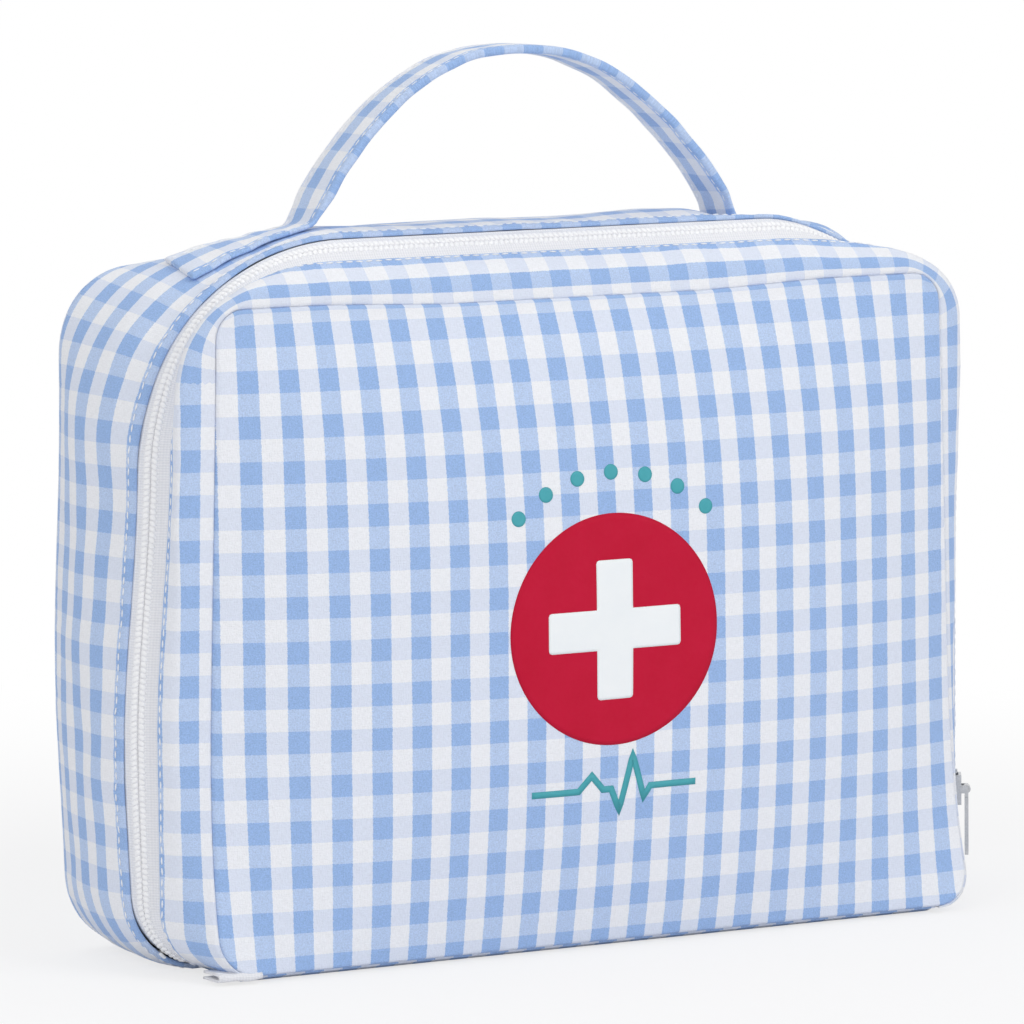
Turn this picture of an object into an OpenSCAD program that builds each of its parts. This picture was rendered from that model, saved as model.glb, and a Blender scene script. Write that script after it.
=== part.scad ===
// Toy doctor case: a soft gingham case with a zip round three sides, a fold-down lid and a strap handle.
// Millimetres. X runs across the case, Y from the front (negative) to the back, Z up from the table.

/* [Case] */
// Half width of the body at the rear edge of the zip
zip_rear_half_w = 127; // [124:0.5:132]
// Height of the body at the rear edge of the zip
zip_rear_h = 195; // [190:1:200]
// Corner radius of the zip at its rear edge
zip_rear_r = 62; // [50:1:64]
// Half width of the body across the gusset
gusset_half_w = 129; // [127:1:132]
// Depth of the case from the front crown to the rear crown
case_d = 90; // [86:1:96]
// Half distance between the two seams that end the gusset at the bottom corners
corner_seam_x = 106; // [100:1:108]

/* [Lid] */
// How far the front panel sits to the right of the body's middle
front_shift = 2.5; // [0:0.5:3]
// Half width of the front panel at mid height
front_half_w = 112; // [108:1:114]
// Height of the front panel's top seam
front_h = 178; // [172:1:180]
// Depth that the front panel's sides fall back from its crown
front_side_fall = 17; // [12:1:19]
// Depth that the front panel's bottom edge falls back from its crown
front_base_fall = 7.5; // [5:0.5:9]
// Half width of the lid at the front edge of the zip
zip_front_half_w = 122.5; // [120:0.5:125]
// Height of the lid at the front edge of the zip
zip_front_h = 189; // [185:1:191]
// Corner radius of the zip at its front edge
zip_front_r = 52; // [40:1:54]
// Height of the fold line that the lid turns about
hinge_z = 2; // [2:0.5:4]

/* [Back] */
// Height of the rear panel's top seam
rear_h = 189; // [186:1:192]
// Corner radius of the rear panel
rear_r = 27; // [18:1:30]
// How far the rear panel bulges behind its seam
rear_crown = 13; // [6:1:15]

/* [Cloth] */
// Thickness of the outer cloth
cloth_t = 0.6; // [0.5:0.1:0.8]
// Thickness of the wadding in the front and rear panels
wadding_t = 4; // [3:0.5:5]
// Thickness of the wadding in the strip and the gusset
side_wadding_t = 2.4; // [2:0.2:3]
// Thickness of the lining
lining_t = 0.6; // [0.5:0.1:0.8]
// Thickness of the stiffening board in the base
board_t = 2; // [1.5:0.5:3]

/* [Zip] */
// Width of one row of coil
coil_w = 2.1; // [1.9:0.05:2.1]
// Thickness of the coil
coil_t = 2.1; // [1.8:0.1:2.3]
// Thickness of the zip tape
tape_t = 0.5; // [0.4:0.1:0.6]
// Height of the middle of the slider when the zip is closed
slider_z = 30.5; // [30:0.5:40]
// Length of the slider
slider_l = 8.5; // [8:0.5:10]
// Length of the pull tab below its eye
pull_l = 19; // [16:1:22]

/* [Handle] */
// Width of the strap
strap_w = 19; // [16:1:20]
// Thickness of the strap
strap_t = 2.4; // [2:0.2:3]
// How far the handle sits to the left of the body's middle
handle_shift = 2.5; // [0:0.5:4]
// Half distance between the strap's two feet
foot_x = 65.5; // [62:0.5:70]
// Height of the strap's arch above the body
arch_h = 46.5; // [40:0.5:52]
// How far the top of the arch leans to the left
arch_lean = 2.5; // [0:0.5:10]
// Power of the curve on both sides of the arch's top
arch_power = 2.2; // [2:0.1:3]
// Length of each sewn-down strap end
tab_l = 40; // [34:1:46]
// Thickness of each sewn-down strap end
tab_t = 1.4; // [1.2:0.1:2.4]

/* [Print] */
// Distance of the middle of the disc to the right of the body's middle
disc_x = 1; // [-2:0.5:4]
// Height of the middle of the disc
disc_z = 88.2; // [84:0.2:94]
// Radius of the red disc
disc_r = 31.6; // [26:0.2:34]
// Length of the cross's arms from tip to tip
cross_l = 39; // [30:1:44]
// Width of the cross's arms
cross_w = 10.6; // [8:0.2:14]
// Thickness of the printed ink
ink_t = 0.2; // [0.1:0.05:0.3]

/* [Hidden] */
front_y = -case_d / 2;
rear_seam_y = case_d / 2 - rear_crown;
hinge_y = front_y + front_base_fall;
zip_front_y = front_y + 26;
zip_rear_y = front_y + 34;
panel_mid_z = (front_h + hinge_z) / 2;
root_z = 0.4;
front_corner_r = 8;
front_taper = 0.022;
zip_w = norm([zip_rear_half_w - zip_front_half_w, zip_rear_y - zip_front_y]);
// Share of the way from the zip's rear edge to its front edge at which the coils meet
coil_line = 3.75 / zip_w;
zip_tilt = atan2(zip_rear_half_w - zip_front_half_w, zip_rear_y - zip_front_y);
// Depths of the layers under the outer face
fold_t = 2 * cloth_t;
tape_d = fold_t + 0.1;
coil_d = tape_d - coil_t / 2;
half_gap = 0.15;
fit_gap = 0.05;
side_gap = 0.25;
seam_gap = 0.25;
wadding_d = cloth_t + side_gap;
side_lining_d = cloth_t + side_wadding_t + side_gap;
edge_lining_d = tape_d + tape_t + fit_gap;
// Points along a top corner, a bottom corner, a panel's corner and a straight side, and the rings of a panel
top_steps = 9;
low_steps = 4;
panel_steps = 3;
side_spans = 5;
panel_rings = 7;
// Points on each side of the arch
arch_steps = 16;
strap_y = 8;
tab_gap = 0.15;
foot_gap = 0.5;
gusset_top = zip_rear_h + 0.5;
strap_z = gusset_top + 0.9;
// Height of the axis that the handle turns about, half a strap's width above the sewn-down ends
handle_axis_z = gusset_top + tab_t + foot_gap + strap_w / 2;
gingham = "#a9c3ec";
white_cloth = "#eceef2";
wadding_white = "#e4e4de";
zip_white = "#e6e6ea";

// Stations across the case: [half width, top height, top corner radius, depth]. The front seam has no depth
// of its own, because it lies on the front panel's face.
front_seam = [front_half_w, front_h, front_corner_r];
strip_mid = [front_half_w + 7, front_h + 7.2, 34, zip_front_y - 5];
zip_front = [zip_front_half_w, zip_front_h, zip_front_r, zip_front_y];
zip_rear = [zip_rear_half_w, zip_rear_h, zip_rear_r, zip_rear_y];
gusset_fore = [gusset_half_w, gusset_top, 57, 1];
gusset_aft = [gusset_half_w, gusset_top - 1.2, 48, 16];
rear_seam = [gusset_half_w - 2, rear_h, rear_r, rear_seam_y];

function mix(a, b, f) = a * (1 - f) + b * f;
function zip_at(f) = mix(zip_rear, zip_front, f);
// Share of the zip's width that a length in millimetres takes
function zip_share(length) = length / zip_w;

// Depth of the front panel's outer face, which is crowned like a cushion
function front_face(x, z) =
    let (s = min(abs(x - front_shift) / front_half_w, 1.05),
         t = (z - panel_mid_z) / (front_h - panel_mid_z),
         rise = min(pow(abs(t), 3), 1),
         fall = t > 0 ? front_side_fall : front_base_fall)
    front_y + front_side_fall * pow(s, 3) * (1 - rise) + fall * rise;

// Depth of the rear panel's outer face
function rear_face(x, z) =
    let (s = min(abs(x) / rear_seam[0], 1),
         t = min(abs(z - rear_h / 2) / (rear_h / 2), 1))
    rear_seam_y + rear_crown * (1 - pow(s, 3)) * (1 - pow(t, 3));

function arc(cx, cz, r, a0, a1, steps) =
    [for (i = [0:steps]) let (a = mix(a0, a1, i / steps)) [cx + r * cos(a), cz + r * sin(a)]];

// Points between two others, without the two
function between(a, b, spans) = spans < 2 ? [] : [for (i = [1:spans - 1]) mix(a, b, i / spans)];

// Outline of a side of the case: left seam, left side, top, right side, right seam
function run(w, base, top, r, steps, low, spans) =
    let (bottom = w - corner_seam_x,
         left_low = arc(-w + bottom, base + bottom, bottom, 270, 180, low),
         left_top = arc(-w + r, top - r, r, 180, 90, steps),
         right_top = arc(w - r, top - r, r, 90, 0, steps),
         right_low = arc(w - bottom, base + bottom, bottom, 360, 270, low))
    concat(left_low, between(left_low[low], left_top[0], spans),
           left_top, between(left_top[steps], right_top[0], spans),
           right_top, between(right_top[steps], right_low[0], spans), right_low);

// The same outline moved inwards by d
function inset_run(st, base, d, steps = top_steps, low = low_steps, spans = 1) =
    run(corner_seam_x + max(st[0] - corner_seam_x - d, 0.5), base + d, st[1] - d, max(st[2] - d, 1),
        steps, low, spans);

// The front panel is a little wider at its foot than at its top
function tapered(p) =
    [front_shift + p[0] * (1 + front_taper * (panel_mid_z - p[1]) / panel_mid_z), p[1]];

// One row of points round the case at a station, d under the outer face
function row(st, base, d, spans = 1) =
    len(st) == 4
        ? [for (p = inset_run(st, base, d, spans = spans)) [p[0], st[3], p[1]]]
        : [for (p = inset_run(st, base, d, spans = spans))
              let (q = tapered(p)) [q[0], front_face(q[0], q[1]) + cloth_t + seam_gap + d, q[1]]];

// The row from partway round the lower left corner to height z_end on the right side
function cut_row(st, base, d, z_end) =
    let (all = row(st, base, d),
         first = low_steps / 2,
         last = len(all) - low_steps - 2)
    concat([for (i = [first:last]) all[i]], [[st[0] - d, st[3], z_end]]);

function quad(a, b, c, d) = [[a, b, c], [a, c, d]];
function flat(lists) = [for (list = lists) for (item = list) item];

// Solid skin through rows of points that go round its section. The row ends are joined across, from each
// row of the first half to its partner in the second half. Both halves are split along the same diagonals.
module band(rows, closed = false) {
    n = len(rows[0]);
    m = len(rows);
    along = closed ? n - 1 : n - 2;
    sides = flat([for (j = [0:m - 1]) for (i = [0:along])
        let (k = (j + 1) % m, ni = (i + 1) % n, a = j * n + i, b = k * n + i, c = k * n + ni, d = j * n + ni)
        j < m / 2 ? quad(a, b, c, d) : quad(b, c, d, a)]);
    starts = flat([for (j = [0:m / 2 - 2])
        quad(j * n, (m - 1 - j) * n, (m - 2 - j) * n, (j + 1) * n)]);
    ends = flat([for (j = [0:m / 2 - 2])
        quad(j * n + n - 1, (j + 1) * n + n - 1, (m - 2 - j) * n + n - 1, (m - 1 - j) * n + n - 1)]);
    polyhedron(points = flat(rows), faces = closed ? sides : concat(sides, starts, ends));
}

// A layer of a side of the case from depth d0 to depth d1 below the outer face, one pair for each station
module side_layer(stations, base, d0, d1, spans = 1) {
    last = len(stations) - 1;
    band(concat([for (i = [0:last]) row(stations[i], base, d0[i], spans)],
                [for (i = [last:-1:0]) row(stations[i], base, d1[i], spans)]));
}

// A crowned panel from depth d0 to depth d1 below its outer face: rings of its outline, drawn in to its
// middle, on the face given by a function. A layer inside the seam leaves out the last ring.
module panel(outline, middle, face, d0, d1, rings = panel_rings) {
    n = len(outline);
    shares = [for (k = [1:rings]) k == panel_rings ? 1 : 0.945 * pow(k / (panel_rings - 1), 0.8)];
    points = [for (d = [d0, d1]) for (q = shares) for (p = outline)
        let (at = mix(middle, p, q))
        [at[0], face(at[0], at[1]) + d, at[1]]];
    hubs = [for (d = [d0, d1]) [middle[0], face(middle[0], middle[1]) + d, middle[1]]];
    back = rings * n;
    hub = 2 * back;
    rim = (rings - 1) * n;
    fans = flat([for (i = [0:n - 1]) let (j = (i + 1) % n)
        [[hub, i, j], [hub + 1, back + j, back + i]]]);
    sheets = flat([for (k = [0:rings - 2]) for (i = [0:n - 1]) let (j = (i + 1) % n, a = k * n)
        concat(quad(a + i, a + n + i, a + n + j, a + j),
               quad(back + a + i, back + a + j, back + a + n + j, back + a + n + i))]);
    edge = flat([for (i = [0:n - 1]) let (j = (i + 1) % n)
        quad(rim + i, back + rim + i, back + rim + j, rim + j)]);
    polyhedron(points = concat(points, hubs), faces = concat(fans, sheets, edge));
}

front_form = function (x, z) front_face(x, z);
rear_form = function (x, z) rear_face(x, z);

// Closed outline of a panel, with points along its straight edges
function outline(st, base) =
    let (open = inset_run(st, base, 0, panel_steps, panel_steps, side_spans))
    concat(open, between(open[len(open) - 1], open[0], side_spans + 2));

front_outline = [for (p = outline(front_seam, hinge_z)) tapered(p)];
rear_outline = outline(rear_seam, root_z);
front_middle = [front_shift, panel_mid_z];
rear_middle = [0, rear_h / 2];

// Where the folded edges, the wadding and the lining end between those stations
strip_in = mix(zip_front, strip_mid, 0.8);
strip_start = mix(zip_front, strip_mid, 0.86);
strip_edge = [front_half_w + 2.6, front_h + 3.6, 26, zip_front_y - 6];
gusset_in = mix(zip_rear, gusset_fore, 0.66);
gusset_start = mix(zip_rear, gusset_fore, 0.72);
gusset_end = mix(gusset_aft, rear_seam, 0.72);
gusset_lining_start = mix(zip_rear, gusset_fore, 0.15);

module front_panel() {
    color(gingham) panel(front_outline, front_middle, front_form, 0, cloth_t);
}

// A layer behind the front panel's cloth, from depth d0 to depth d1
module front_layer(d0, d1) {
    panel(front_outline, front_middle, front_form, d0, d1, panel_rings - 1);
}

module front_wadding() {
    color(wadding_white) front_layer(cloth_t + fit_gap, cloth_t + wadding_t);
}

module front_lining() {
    d = cloth_t + wadding_t + fit_gap;
    color(white_cloth) front_layer(d, d + lining_t);
}

module front_strip() {
    color(gingham)
        side_layer([zip_front, strip_in, strip_mid, front_seam], hinge_z,
                   [fold_t, fold_t, cloth_t, cloth_t], [0, 0, 0, 0], side_spans);
}

module front_strip_wadding() {
    d1 = cloth_t + side_wadding_t;
    color(wadding_white)
        side_layer([strip_edge, strip_mid, strip_start], hinge_z,
                   [wadding_d, wadding_d, fold_t + 0.2], [d1, d1, d1]);
}

module front_strip_lining() {
    d = [edge_lining_d, side_lining_d, side_lining_d, side_lining_d];
    color(white_cloth)
        side_layer([zip_front, strip_start, strip_mid, strip_edge], hinge_z, [for (t = d) t + lining_t], d);
}

module rear_gusset() {
    stations = [zip_rear, gusset_in, gusset_fore, gusset_aft, rear_seam];
    color(gingham)
        side_layer(stations, root_z, [0, 0, 0, 0, 0], [fold_t, fold_t, cloth_t, cloth_t, cloth_t]);
}

module rear_gusset_wadding() {
    d1 = cloth_t + side_wadding_t;
    color(wadding_white)
        side_layer([gusset_start, gusset_fore, gusset_aft, gusset_end], root_z,
                   [fold_t + 0.2, wadding_d, wadding_d, wadding_d], [d1, d1, d1, d1]);
}

module rear_gusset_lining() {
    d = [edge_lining_d, side_lining_d, side_lining_d, side_lining_d, side_lining_d];
    color(white_cloth)
        side_layer([gusset_lining_start, gusset_start, gusset_fore, gusset_aft, gusset_end], root_z,
                   d, [for (t = d) t + lining_t]);
}

module rear_panel() {
    color(gingham) panel(rear_outline, rear_middle, rear_form, fit_gap, fit_gap + cloth_t);
}

// A layer in front of the rear panel's cloth, t thick, whose rear face is d in front of the cloth
module rear_layer(d, t) {
    panel(rear_outline, rear_middle, rear_form, -d - t, -d, panel_rings - 1);
}

module rear_wadding() {
    color(wadding_white) rear_layer(0, wadding_t);
}

module rear_lining() {
    color(white_cloth) rear_layer(wadding_t + fit_gap, lining_t);
}

// A flat rectangle of the base from y0 to y1, at height z
module base_sheet(half_w, y0, y1, z, t) {
    translate([-half_w, y0, z]) cube([2 * half_w, y1 - y0, t]);
}

module base_panel() {
    color(gingham) base_sheet(corner_seam_x - 0.3, hinge_y, rear_seam_y - 0.2, 0, 2 * cloth_t);
}

module base_board() {
    color("#b9a98a")
        base_sheet(corner_seam_x - 4, hinge_y + 5, rear_seam_y - 6, 2 * cloth_t, board_t);
}

module base_lining() {
    color(white_cloth)
        base_sheet(corner_seam_x - 1, hinge_y + 3, rear_seam_y - 5, 2 * cloth_t + board_t, lining_t);
}

// Tape of one side of the zip, through three stations
module zip_tape(stations, base) {
    d1 = tape_d + tape_t;
    side_layer(stations, base, [d1, d1, d1], [tape_d, tape_d, tape_d]);
}

// Rounded row of coil centred at share f of the zip's width, ending on the right side at z_end
module zip_coil(base, f, z_end) {
    half_f = zip_share(coil_w / 2) / cos(22.5);
    section = [for (a = [337.5:-45:0]) [f + half_f * cos(a), coil_d + coil_t / 2 * sin(a) / cos(22.5)]];
    band([for (s = section) cut_row(zip_at(s[0]), base, s[1], z_end)]);
}

coil_front_f = coil_line + zip_share(coil_w / 2 + half_gap);
coil_rear_f = coil_line - zip_share(coil_w / 2 + half_gap);
slider_low = slider_z - slider_l / 2;
slider_high = slider_z + slider_l / 2;
// Slider, across the tape and out from the middle of the coils
slider_wall = 0.5;
plate_t = 0.8;
slider_half_w = coil_w + half_gap + 0.9;
coil_out = coil_t / 2 * cos(zip_tilt);
tape_in = coil_out + tape_t * cos(zip_tilt);
slider_gap = 0.3;
top_plate_x = coil_out + slider_gap;
slider_face_x = top_plate_x + plate_t;
bar_r = 0.5;
bar_x = slider_face_x + 1.5;
pull_t = 1;
pull_half_w = 2.5;
eye_half_w = 1.6;

// Frame of the slider, from the middle of the coils: X out of the case, Y along the tape to the back, Z up
module at_slider() {
    spot = zip_at(coil_line);
    translate([spot[0] - coil_d, spot[3], slider_z]) rotate([0, 0, -zip_tilt]) children();
}

module zip_tape_rear() {
    color(zip_white)
        zip_tape([mix(zip_rear, gusset_fore, 0.5), zip_rear, zip_at(coil_line - zip_share(half_gap))],
                 root_z);
}

module zip_tape_front() {
    color(zip_white) difference() {
        zip_tape([zip_at(coil_line + zip_share(half_gap)), zip_front, mix(zip_front, strip_mid, 0.7)],
                 hinge_z);
        at_slider() translate([-6, -slider_half_w - 0.6, -slider_l / 2 - 4])
            cube([12, slider_half_w + 3, slider_l + 4.4]);
    }
}

module zip_coil_rear() {
    color(zip_white) zip_coil(root_z, coil_rear_f, slider_low + 1.5);
}

module zip_coil_front() {
    color(zip_white) zip_coil(hinge_z, coil_front_f, slider_high + 1.5);
}

// Small metal stop that crimps one row of coil
module coil_stop(y_mid, z) {
    at_slider() translate([0.1 - coil_out, y_mid - 0.7, z - slider_z]) cube([2 * coil_out - 0.1, 1.4, 1.1]);
}

module zip_stop_rear() {
    color("silver") coil_stop(coil_w / 2 + half_gap, slider_low + 0.3);
}

module zip_stop_front() {
    color("silver") coil_stop(-coil_w / 2 - half_gap, slider_high + 0.35);
}

// Bar of stitches that closes the zip's lower left end, on the rear coil
module zip_end_tack() {
    coil = zip_at(coil_rear_f);
    low = coil[0] - corner_seam_x;
    color(zip_white) translate([-corner_seam_x, coil[3] - coil_w / 2 + 0.1, root_z + low])
        rotate([0, -228.5, 0]) translate([low - coil_d - 0.9, 0, -0.7]) cube([2.3, coil_w, 1.4]);
}

// Narrow binding folded over a seam's raw edges inside the case
module side_binding(start, stop, base, d) {
    side_layer([start, stop], base, [d, d], [d + 1.3, d + 1.3]);
}

module rear_seam_binding() {
    color(white_cloth)
        side_binding(mix(gusset_aft, rear_seam, 0.56), mix(gusset_aft, rear_seam, 0.7), root_z,
                     side_lining_d + lining_t + side_gap);
}

module front_seam_binding() {
    color(white_cloth)
        side_binding(mix(strip_edge, strip_mid, 0.4), mix(strip_edge, strip_mid, 1), hinge_z,
                     side_lining_d + lining_t + side_gap);
}

module corner_binding(side) {
    z = 2 * cloth_t + board_t + lining_t;
    x = corner_seam_x - 3.2;
    color(white_cloth) translate([side > 0 ? x - 3 : -x, zip_rear_y + 2, z])
        cube([3, rear_seam_y - zip_rear_y - 12, 1.4]);
}

module corner_binding_left() corner_binding(-1);

module corner_binding_right() corner_binding(1);

// Station of the gusset at depth y, between its two middle stations
function gusset_at(y) =
    mix(gusset_fore, gusset_aft, (y - gusset_fore[3]) / (gusset_aft[3] - gusset_fore[3]));

// Outline of a strap end on the right of the gusset's top, h above the cloth, its foot at x
function tab_row(x, y, h) =
    let (st = gusset_at(y), r = st[2] + h, cx = st[0] - st[2], cz = st[1] - st[2],
         sweep = (x + tab_l - cx) / st[2] * 180 / PI)
    concat([[x - strap_t / 2, y, cz + r]],
           [for (a = [0:sweep / 5:sweep + 0.01]) [cx + r * sin(a), y, cz + r * cos(a)]]);

module handle_tab(x) {
    y0 = strap_y - strap_w / 2;
    y1 = strap_y + strap_w / 2;
    band([tab_row(x, y0, tab_t), tab_row(x, y1, tab_t), tab_row(x, y1, tab_gap), tab_row(x, y0, tab_gap)]);
}

module handle_tab_left() {
    color(gingham) mirror([1, 0, 0]) handle_tab(foot_x + handle_shift);
}

module handle_tab_right() {
    color(gingham) handle_tab(foot_x - handle_shift);
}

// Point of the arch's middle line at share u of the way from its top to a foot, on the left where u < 0
function arch_point(u) =
    [(foot_x + sign(u) * arch_lean) * u - arch_lean, strap_z + arch_h * (1 - pow(abs(u), arch_power))];

function arch_line() = [for (i = [-arch_steps:arch_steps]) arch_point(i / arch_steps)];

// The line moved sideways by h, square to its own direction
function beside(line, h) =
    [for (i = [0:len(line) - 1])
        let (a = line[max(i - 1, 0)], b = line[min(i + 1, len(line) - 1)], t = (b - a) / norm(b - a))
        line[i] + h * [-t[1], t[0]]];

function backwards(list) = [for (i = [len(list) - 1:-1:0]) list[i]];

// Ribbon that follows the arch, between two offsets of its middle line
module arch_ribbon(h0, h1, w) {
    translate([-handle_shift, strap_y + w / 2, 0]) rotate([90, 0, 0]) linear_extrude(w)
        polygon(concat(beside(arch_line(), h1), backwards(beside(arch_line(), h0))));
}

// The part of a ribbon above the axis it turns about, with its lower ends rounded about that axis
module rounded_ends() {
    intersection() {
        children();
        union() {
            translate([-2 * foot_x, strap_y - strap_w, handle_axis_z])
                cube([4 * foot_x, 2 * strap_w, 2 * arch_h]);
            translate([-2 * foot_x, strap_y, handle_axis_z]) rotate([0, 90, 0])
                cylinder(r = strap_w / 2, h = 4 * foot_x, $fn = 64);
        }
    }
}

module handle_strap() {
    inner = 0.3 * strap_t;
    color(gingham) rounded_ends() difference() {
        arch_ribbon(-strap_t / 2, strap_t / 2, strap_w);
        arch_ribbon(-inner, inner, strap_w - 2.4);
    }
}

module handle_core() {
    inner = 0.3 * strap_t - fit_gap;
    color(wadding_white) rounded_ends() arch_ribbon(-inner, inner, strap_w - 2.5);
}

// Thin layer of ink on the front panel's face
module ink_layer() {
    panel(front_outline, front_middle, front_form, -fit_gap - ink_t, -fit_gap);
}

// A flat shape on the front panel, turned into ink that follows its crown
module ink() {
    intersection() {
        ink_layer();
        translate([disc_x, front_y + 6, disc_z]) rotate([90, 0, 0]) linear_extrude(12) children();
    }
}

module cross_shape() {
    square([cross_l, cross_w], center = true);
    square([cross_w, cross_l], center = true);
}

module red_disc_print() {
    color("#be1e33") ink() difference() {
        circle(disc_r, $fn = 72);
        cross_shape();
    }
}

module white_cross_print() {
    color("#f2f5f8") ink() cross_shape();
}

module dots_print() {
    color("#3fa3ad") ink()
        for (a = [-42:14:42]) rotate(-a) translate([0, disc_r + 11]) circle(2.1, $fn = 24);
}

module pulse_line_print() {
    color("#3fa3ad") ink() translate([0, -disc_r - 12]) {
        beat = [[-25, 0], [-11, 0], [-7, 4], [-3.5, 0], [-1, 0],
                [1.5, -6], [5.5, 9], [9, -3], [11, 0], [25, 0]];
        for (i = [0:len(beat) - 2]) stroke(beat[i], beat[i + 1]);
    }
}

// Straight stroke with round ends between two points
module stroke(a, b) {
    d = b - a;
    translate(a) rotate(atan2(d[1], d[0])) translate([0, -0.9]) square([norm(d), 1.8]);
    for (p = [a, b]) translate(p) circle(0.9, $fn = 16);
}

module slider_top_plate() {
    wall_x = 0.25 - coil_out;
    color("silver") at_slider() difference() {
        translate([wall_x, -slider_half_w, -slider_l / 2])
            cube([slider_face_x - wall_x, 2 * slider_half_w, slider_l]);
        translate([wall_x - 1, slider_wall - slider_half_w, -slider_l])
            cube([top_plate_x - wall_x + 1, 2 * (slider_half_w - slider_wall), 2 * slider_l]);
    }
}

module slider_back_plate() {
    color("silver") at_slider() translate([-tape_in - slider_gap - plate_t, -slider_half_w, -slider_l / 2])
        cube([plate_t, 2 * slider_half_w, slider_l]);
}

module slider_bail() {
    post_t = 0.6;
    post_y = eye_half_w + 0.2;
    color("silver") at_slider() {
        for (y = [-post_y - post_t, post_y]) translate([slider_face_x, y, -1.1])
            cube([bar_x - slider_face_x + bar_r, post_t, 2.2]);
        translate([bar_x, post_y + 0.1, 0]) rotate([90, 0, 0])
            cylinder(r = bar_r, h = 2 * post_y + 0.2, $fn = 32);
    }
}

// Flat outline of the pull below its eye, with a hole near its free end
module pull_shape() {
    difference() {
        union() {
            translate([-pull_half_w, pull_half_w - pull_l])
                square([2 * pull_half_w, pull_l - pull_half_w - 2.4]);
            translate([0, pull_half_w - pull_l]) circle(pull_half_w, $fn = 40);
        }
        translate([0, 3.6 - pull_l]) circle(1.1, $fn = 32);
    }
}

module pull_tab() {
    eye_r = 1.15;
    color("silver") at_slider() translate([bar_x, 0, 0]) difference() {
        union() {
            translate([0, eye_half_w, 0]) rotate([90, 0, 0])
                cylinder(r = eye_r, h = 2 * eye_half_w, $fn = 40);
            translate([-pull_t / 2, -eye_half_w, -3]) cube([pull_t, 2 * eye_half_w, 2.4]);
            translate([-pull_t / 2, 0, 0]) rotate([90, 0, 90]) linear_extrude(pull_t) pull_shape();
        }
        translate([0, 3, 0]) rotate([90, 0, 0]) cylinder(r = bar_r + 0.08, h = 6, $fn = 32);
    }
}

rear_panel();
rear_wadding();
rear_lining();
rear_gusset();
rear_gusset_wadding();
rear_gusset_lining();
base_panel();
base_board();
base_lining();
zip_tape_rear();
zip_coil_rear();
zip_stop_rear();
zip_end_tack();
rear_seam_binding();
corner_binding_left();
corner_binding_right();
handle_tab_left();
handle_tab_right();
front_panel();
front_wadding();
front_lining();
front_strip();
front_strip_wadding();
front_strip_lining();
zip_tape_front();
zip_coil_front();
zip_stop_front();
front_seam_binding();
red_disc_print();
white_cross_print();
dots_print();
pulse_line_print();
handle_strap();
handle_core();
slider_top_plate();
slider_back_plate();
slider_bail();
pull_tab();
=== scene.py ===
"""Toy doctor case in pale blue gingham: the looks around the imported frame. Sizes here are in millimetres."""

import math
import random

import bmesh
import bpy
from mathutils import Matrix, Vector, noise


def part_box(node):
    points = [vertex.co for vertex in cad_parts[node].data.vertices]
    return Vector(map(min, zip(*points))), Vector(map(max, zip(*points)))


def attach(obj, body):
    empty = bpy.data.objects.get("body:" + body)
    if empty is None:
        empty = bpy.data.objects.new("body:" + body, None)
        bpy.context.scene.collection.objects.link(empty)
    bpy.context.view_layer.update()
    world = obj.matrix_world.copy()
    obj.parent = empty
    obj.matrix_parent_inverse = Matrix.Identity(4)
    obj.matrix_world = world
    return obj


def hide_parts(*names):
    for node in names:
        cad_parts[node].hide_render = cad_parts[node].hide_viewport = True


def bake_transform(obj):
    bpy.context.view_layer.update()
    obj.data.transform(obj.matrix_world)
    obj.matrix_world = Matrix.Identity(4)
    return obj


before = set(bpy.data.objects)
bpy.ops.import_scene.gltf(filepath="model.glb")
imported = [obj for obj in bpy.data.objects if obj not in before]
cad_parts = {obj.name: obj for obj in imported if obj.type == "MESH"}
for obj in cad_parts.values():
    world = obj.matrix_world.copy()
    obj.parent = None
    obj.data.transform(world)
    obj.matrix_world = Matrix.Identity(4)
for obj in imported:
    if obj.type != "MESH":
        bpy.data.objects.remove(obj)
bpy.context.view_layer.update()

MM = 0.001

# Driving sizes, the same as the frame's
CORNER_SEAM_X = 106.0
PANEL_HALF_W, PANEL_TOP, HINGE_Z, HINGE_Y = 112.0, 178.0, 2.0, -37.5
PANEL_MID = (PANEL_TOP + HINGE_Z) / 2
PANEL_HALF_H = (PANEL_TOP - HINGE_Z) / 2
FRONT_Y, SIDE_FALL, BASE_FALL = -45.0, 17.0, 7.5
FRONT_TAPER, FRONT_SHIFT = 0.022, 2.5
CASE_BASE = 0.4
REAR_TOP, REAR_SEAM_Y, REAR_CROWN, REAR_HALF_W, REAR_R = 189.0, 32.0, 13.0, 127.0, 27.0
STRAP_Y, STRAP_W, STRAP_T, TAB_T = 8.0, 19.0, 2.4, 1.4
GUSSET_TOP = 195.5
STRAP_Z = GUSSET_TOP + 0.9
DISC_X, DISC_Z = 1.0, 88.2
CLOTH_T, FOLD_T, TAPE_T, WADDING_T = 0.6, 1.2, 0.5, 4.0
# Sizes of the strap and the print, set against the photo. Most differ from the frame's, by 3 mm at most
FOOT_X, HANDLE_SHIFT, TAB_L = 64.4, 1.6, 37.0
ARCH_H, ARCH_LEAN, ARCH_POWER = 45.6, 2.5, 2.25
DISC_R = 31.4
CROSS_L, CROSS_H, CROSS_W, CROSS_R = 40.2, 37.8, 11.0, 0.9
# The cloth of both panels with the wadding pressed behind it
PANEL_T = CLOTH_T + WADDING_T * 0.6

CHECK_W, CHECK_L = 5.5, 5.98
# Where the first blue stripe and the first pale blue band of the front panel start
FIRST_STRIPE_X, FIRST_BAND_Z = -104.9, 174.0
# Fall of the front panel's bands for each millimetre to the right
BAND_FALL = 0.006
STITCH_PITCH, STITCH_SIZE = 2.9, (2.3, 0.55, 0.42)


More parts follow.
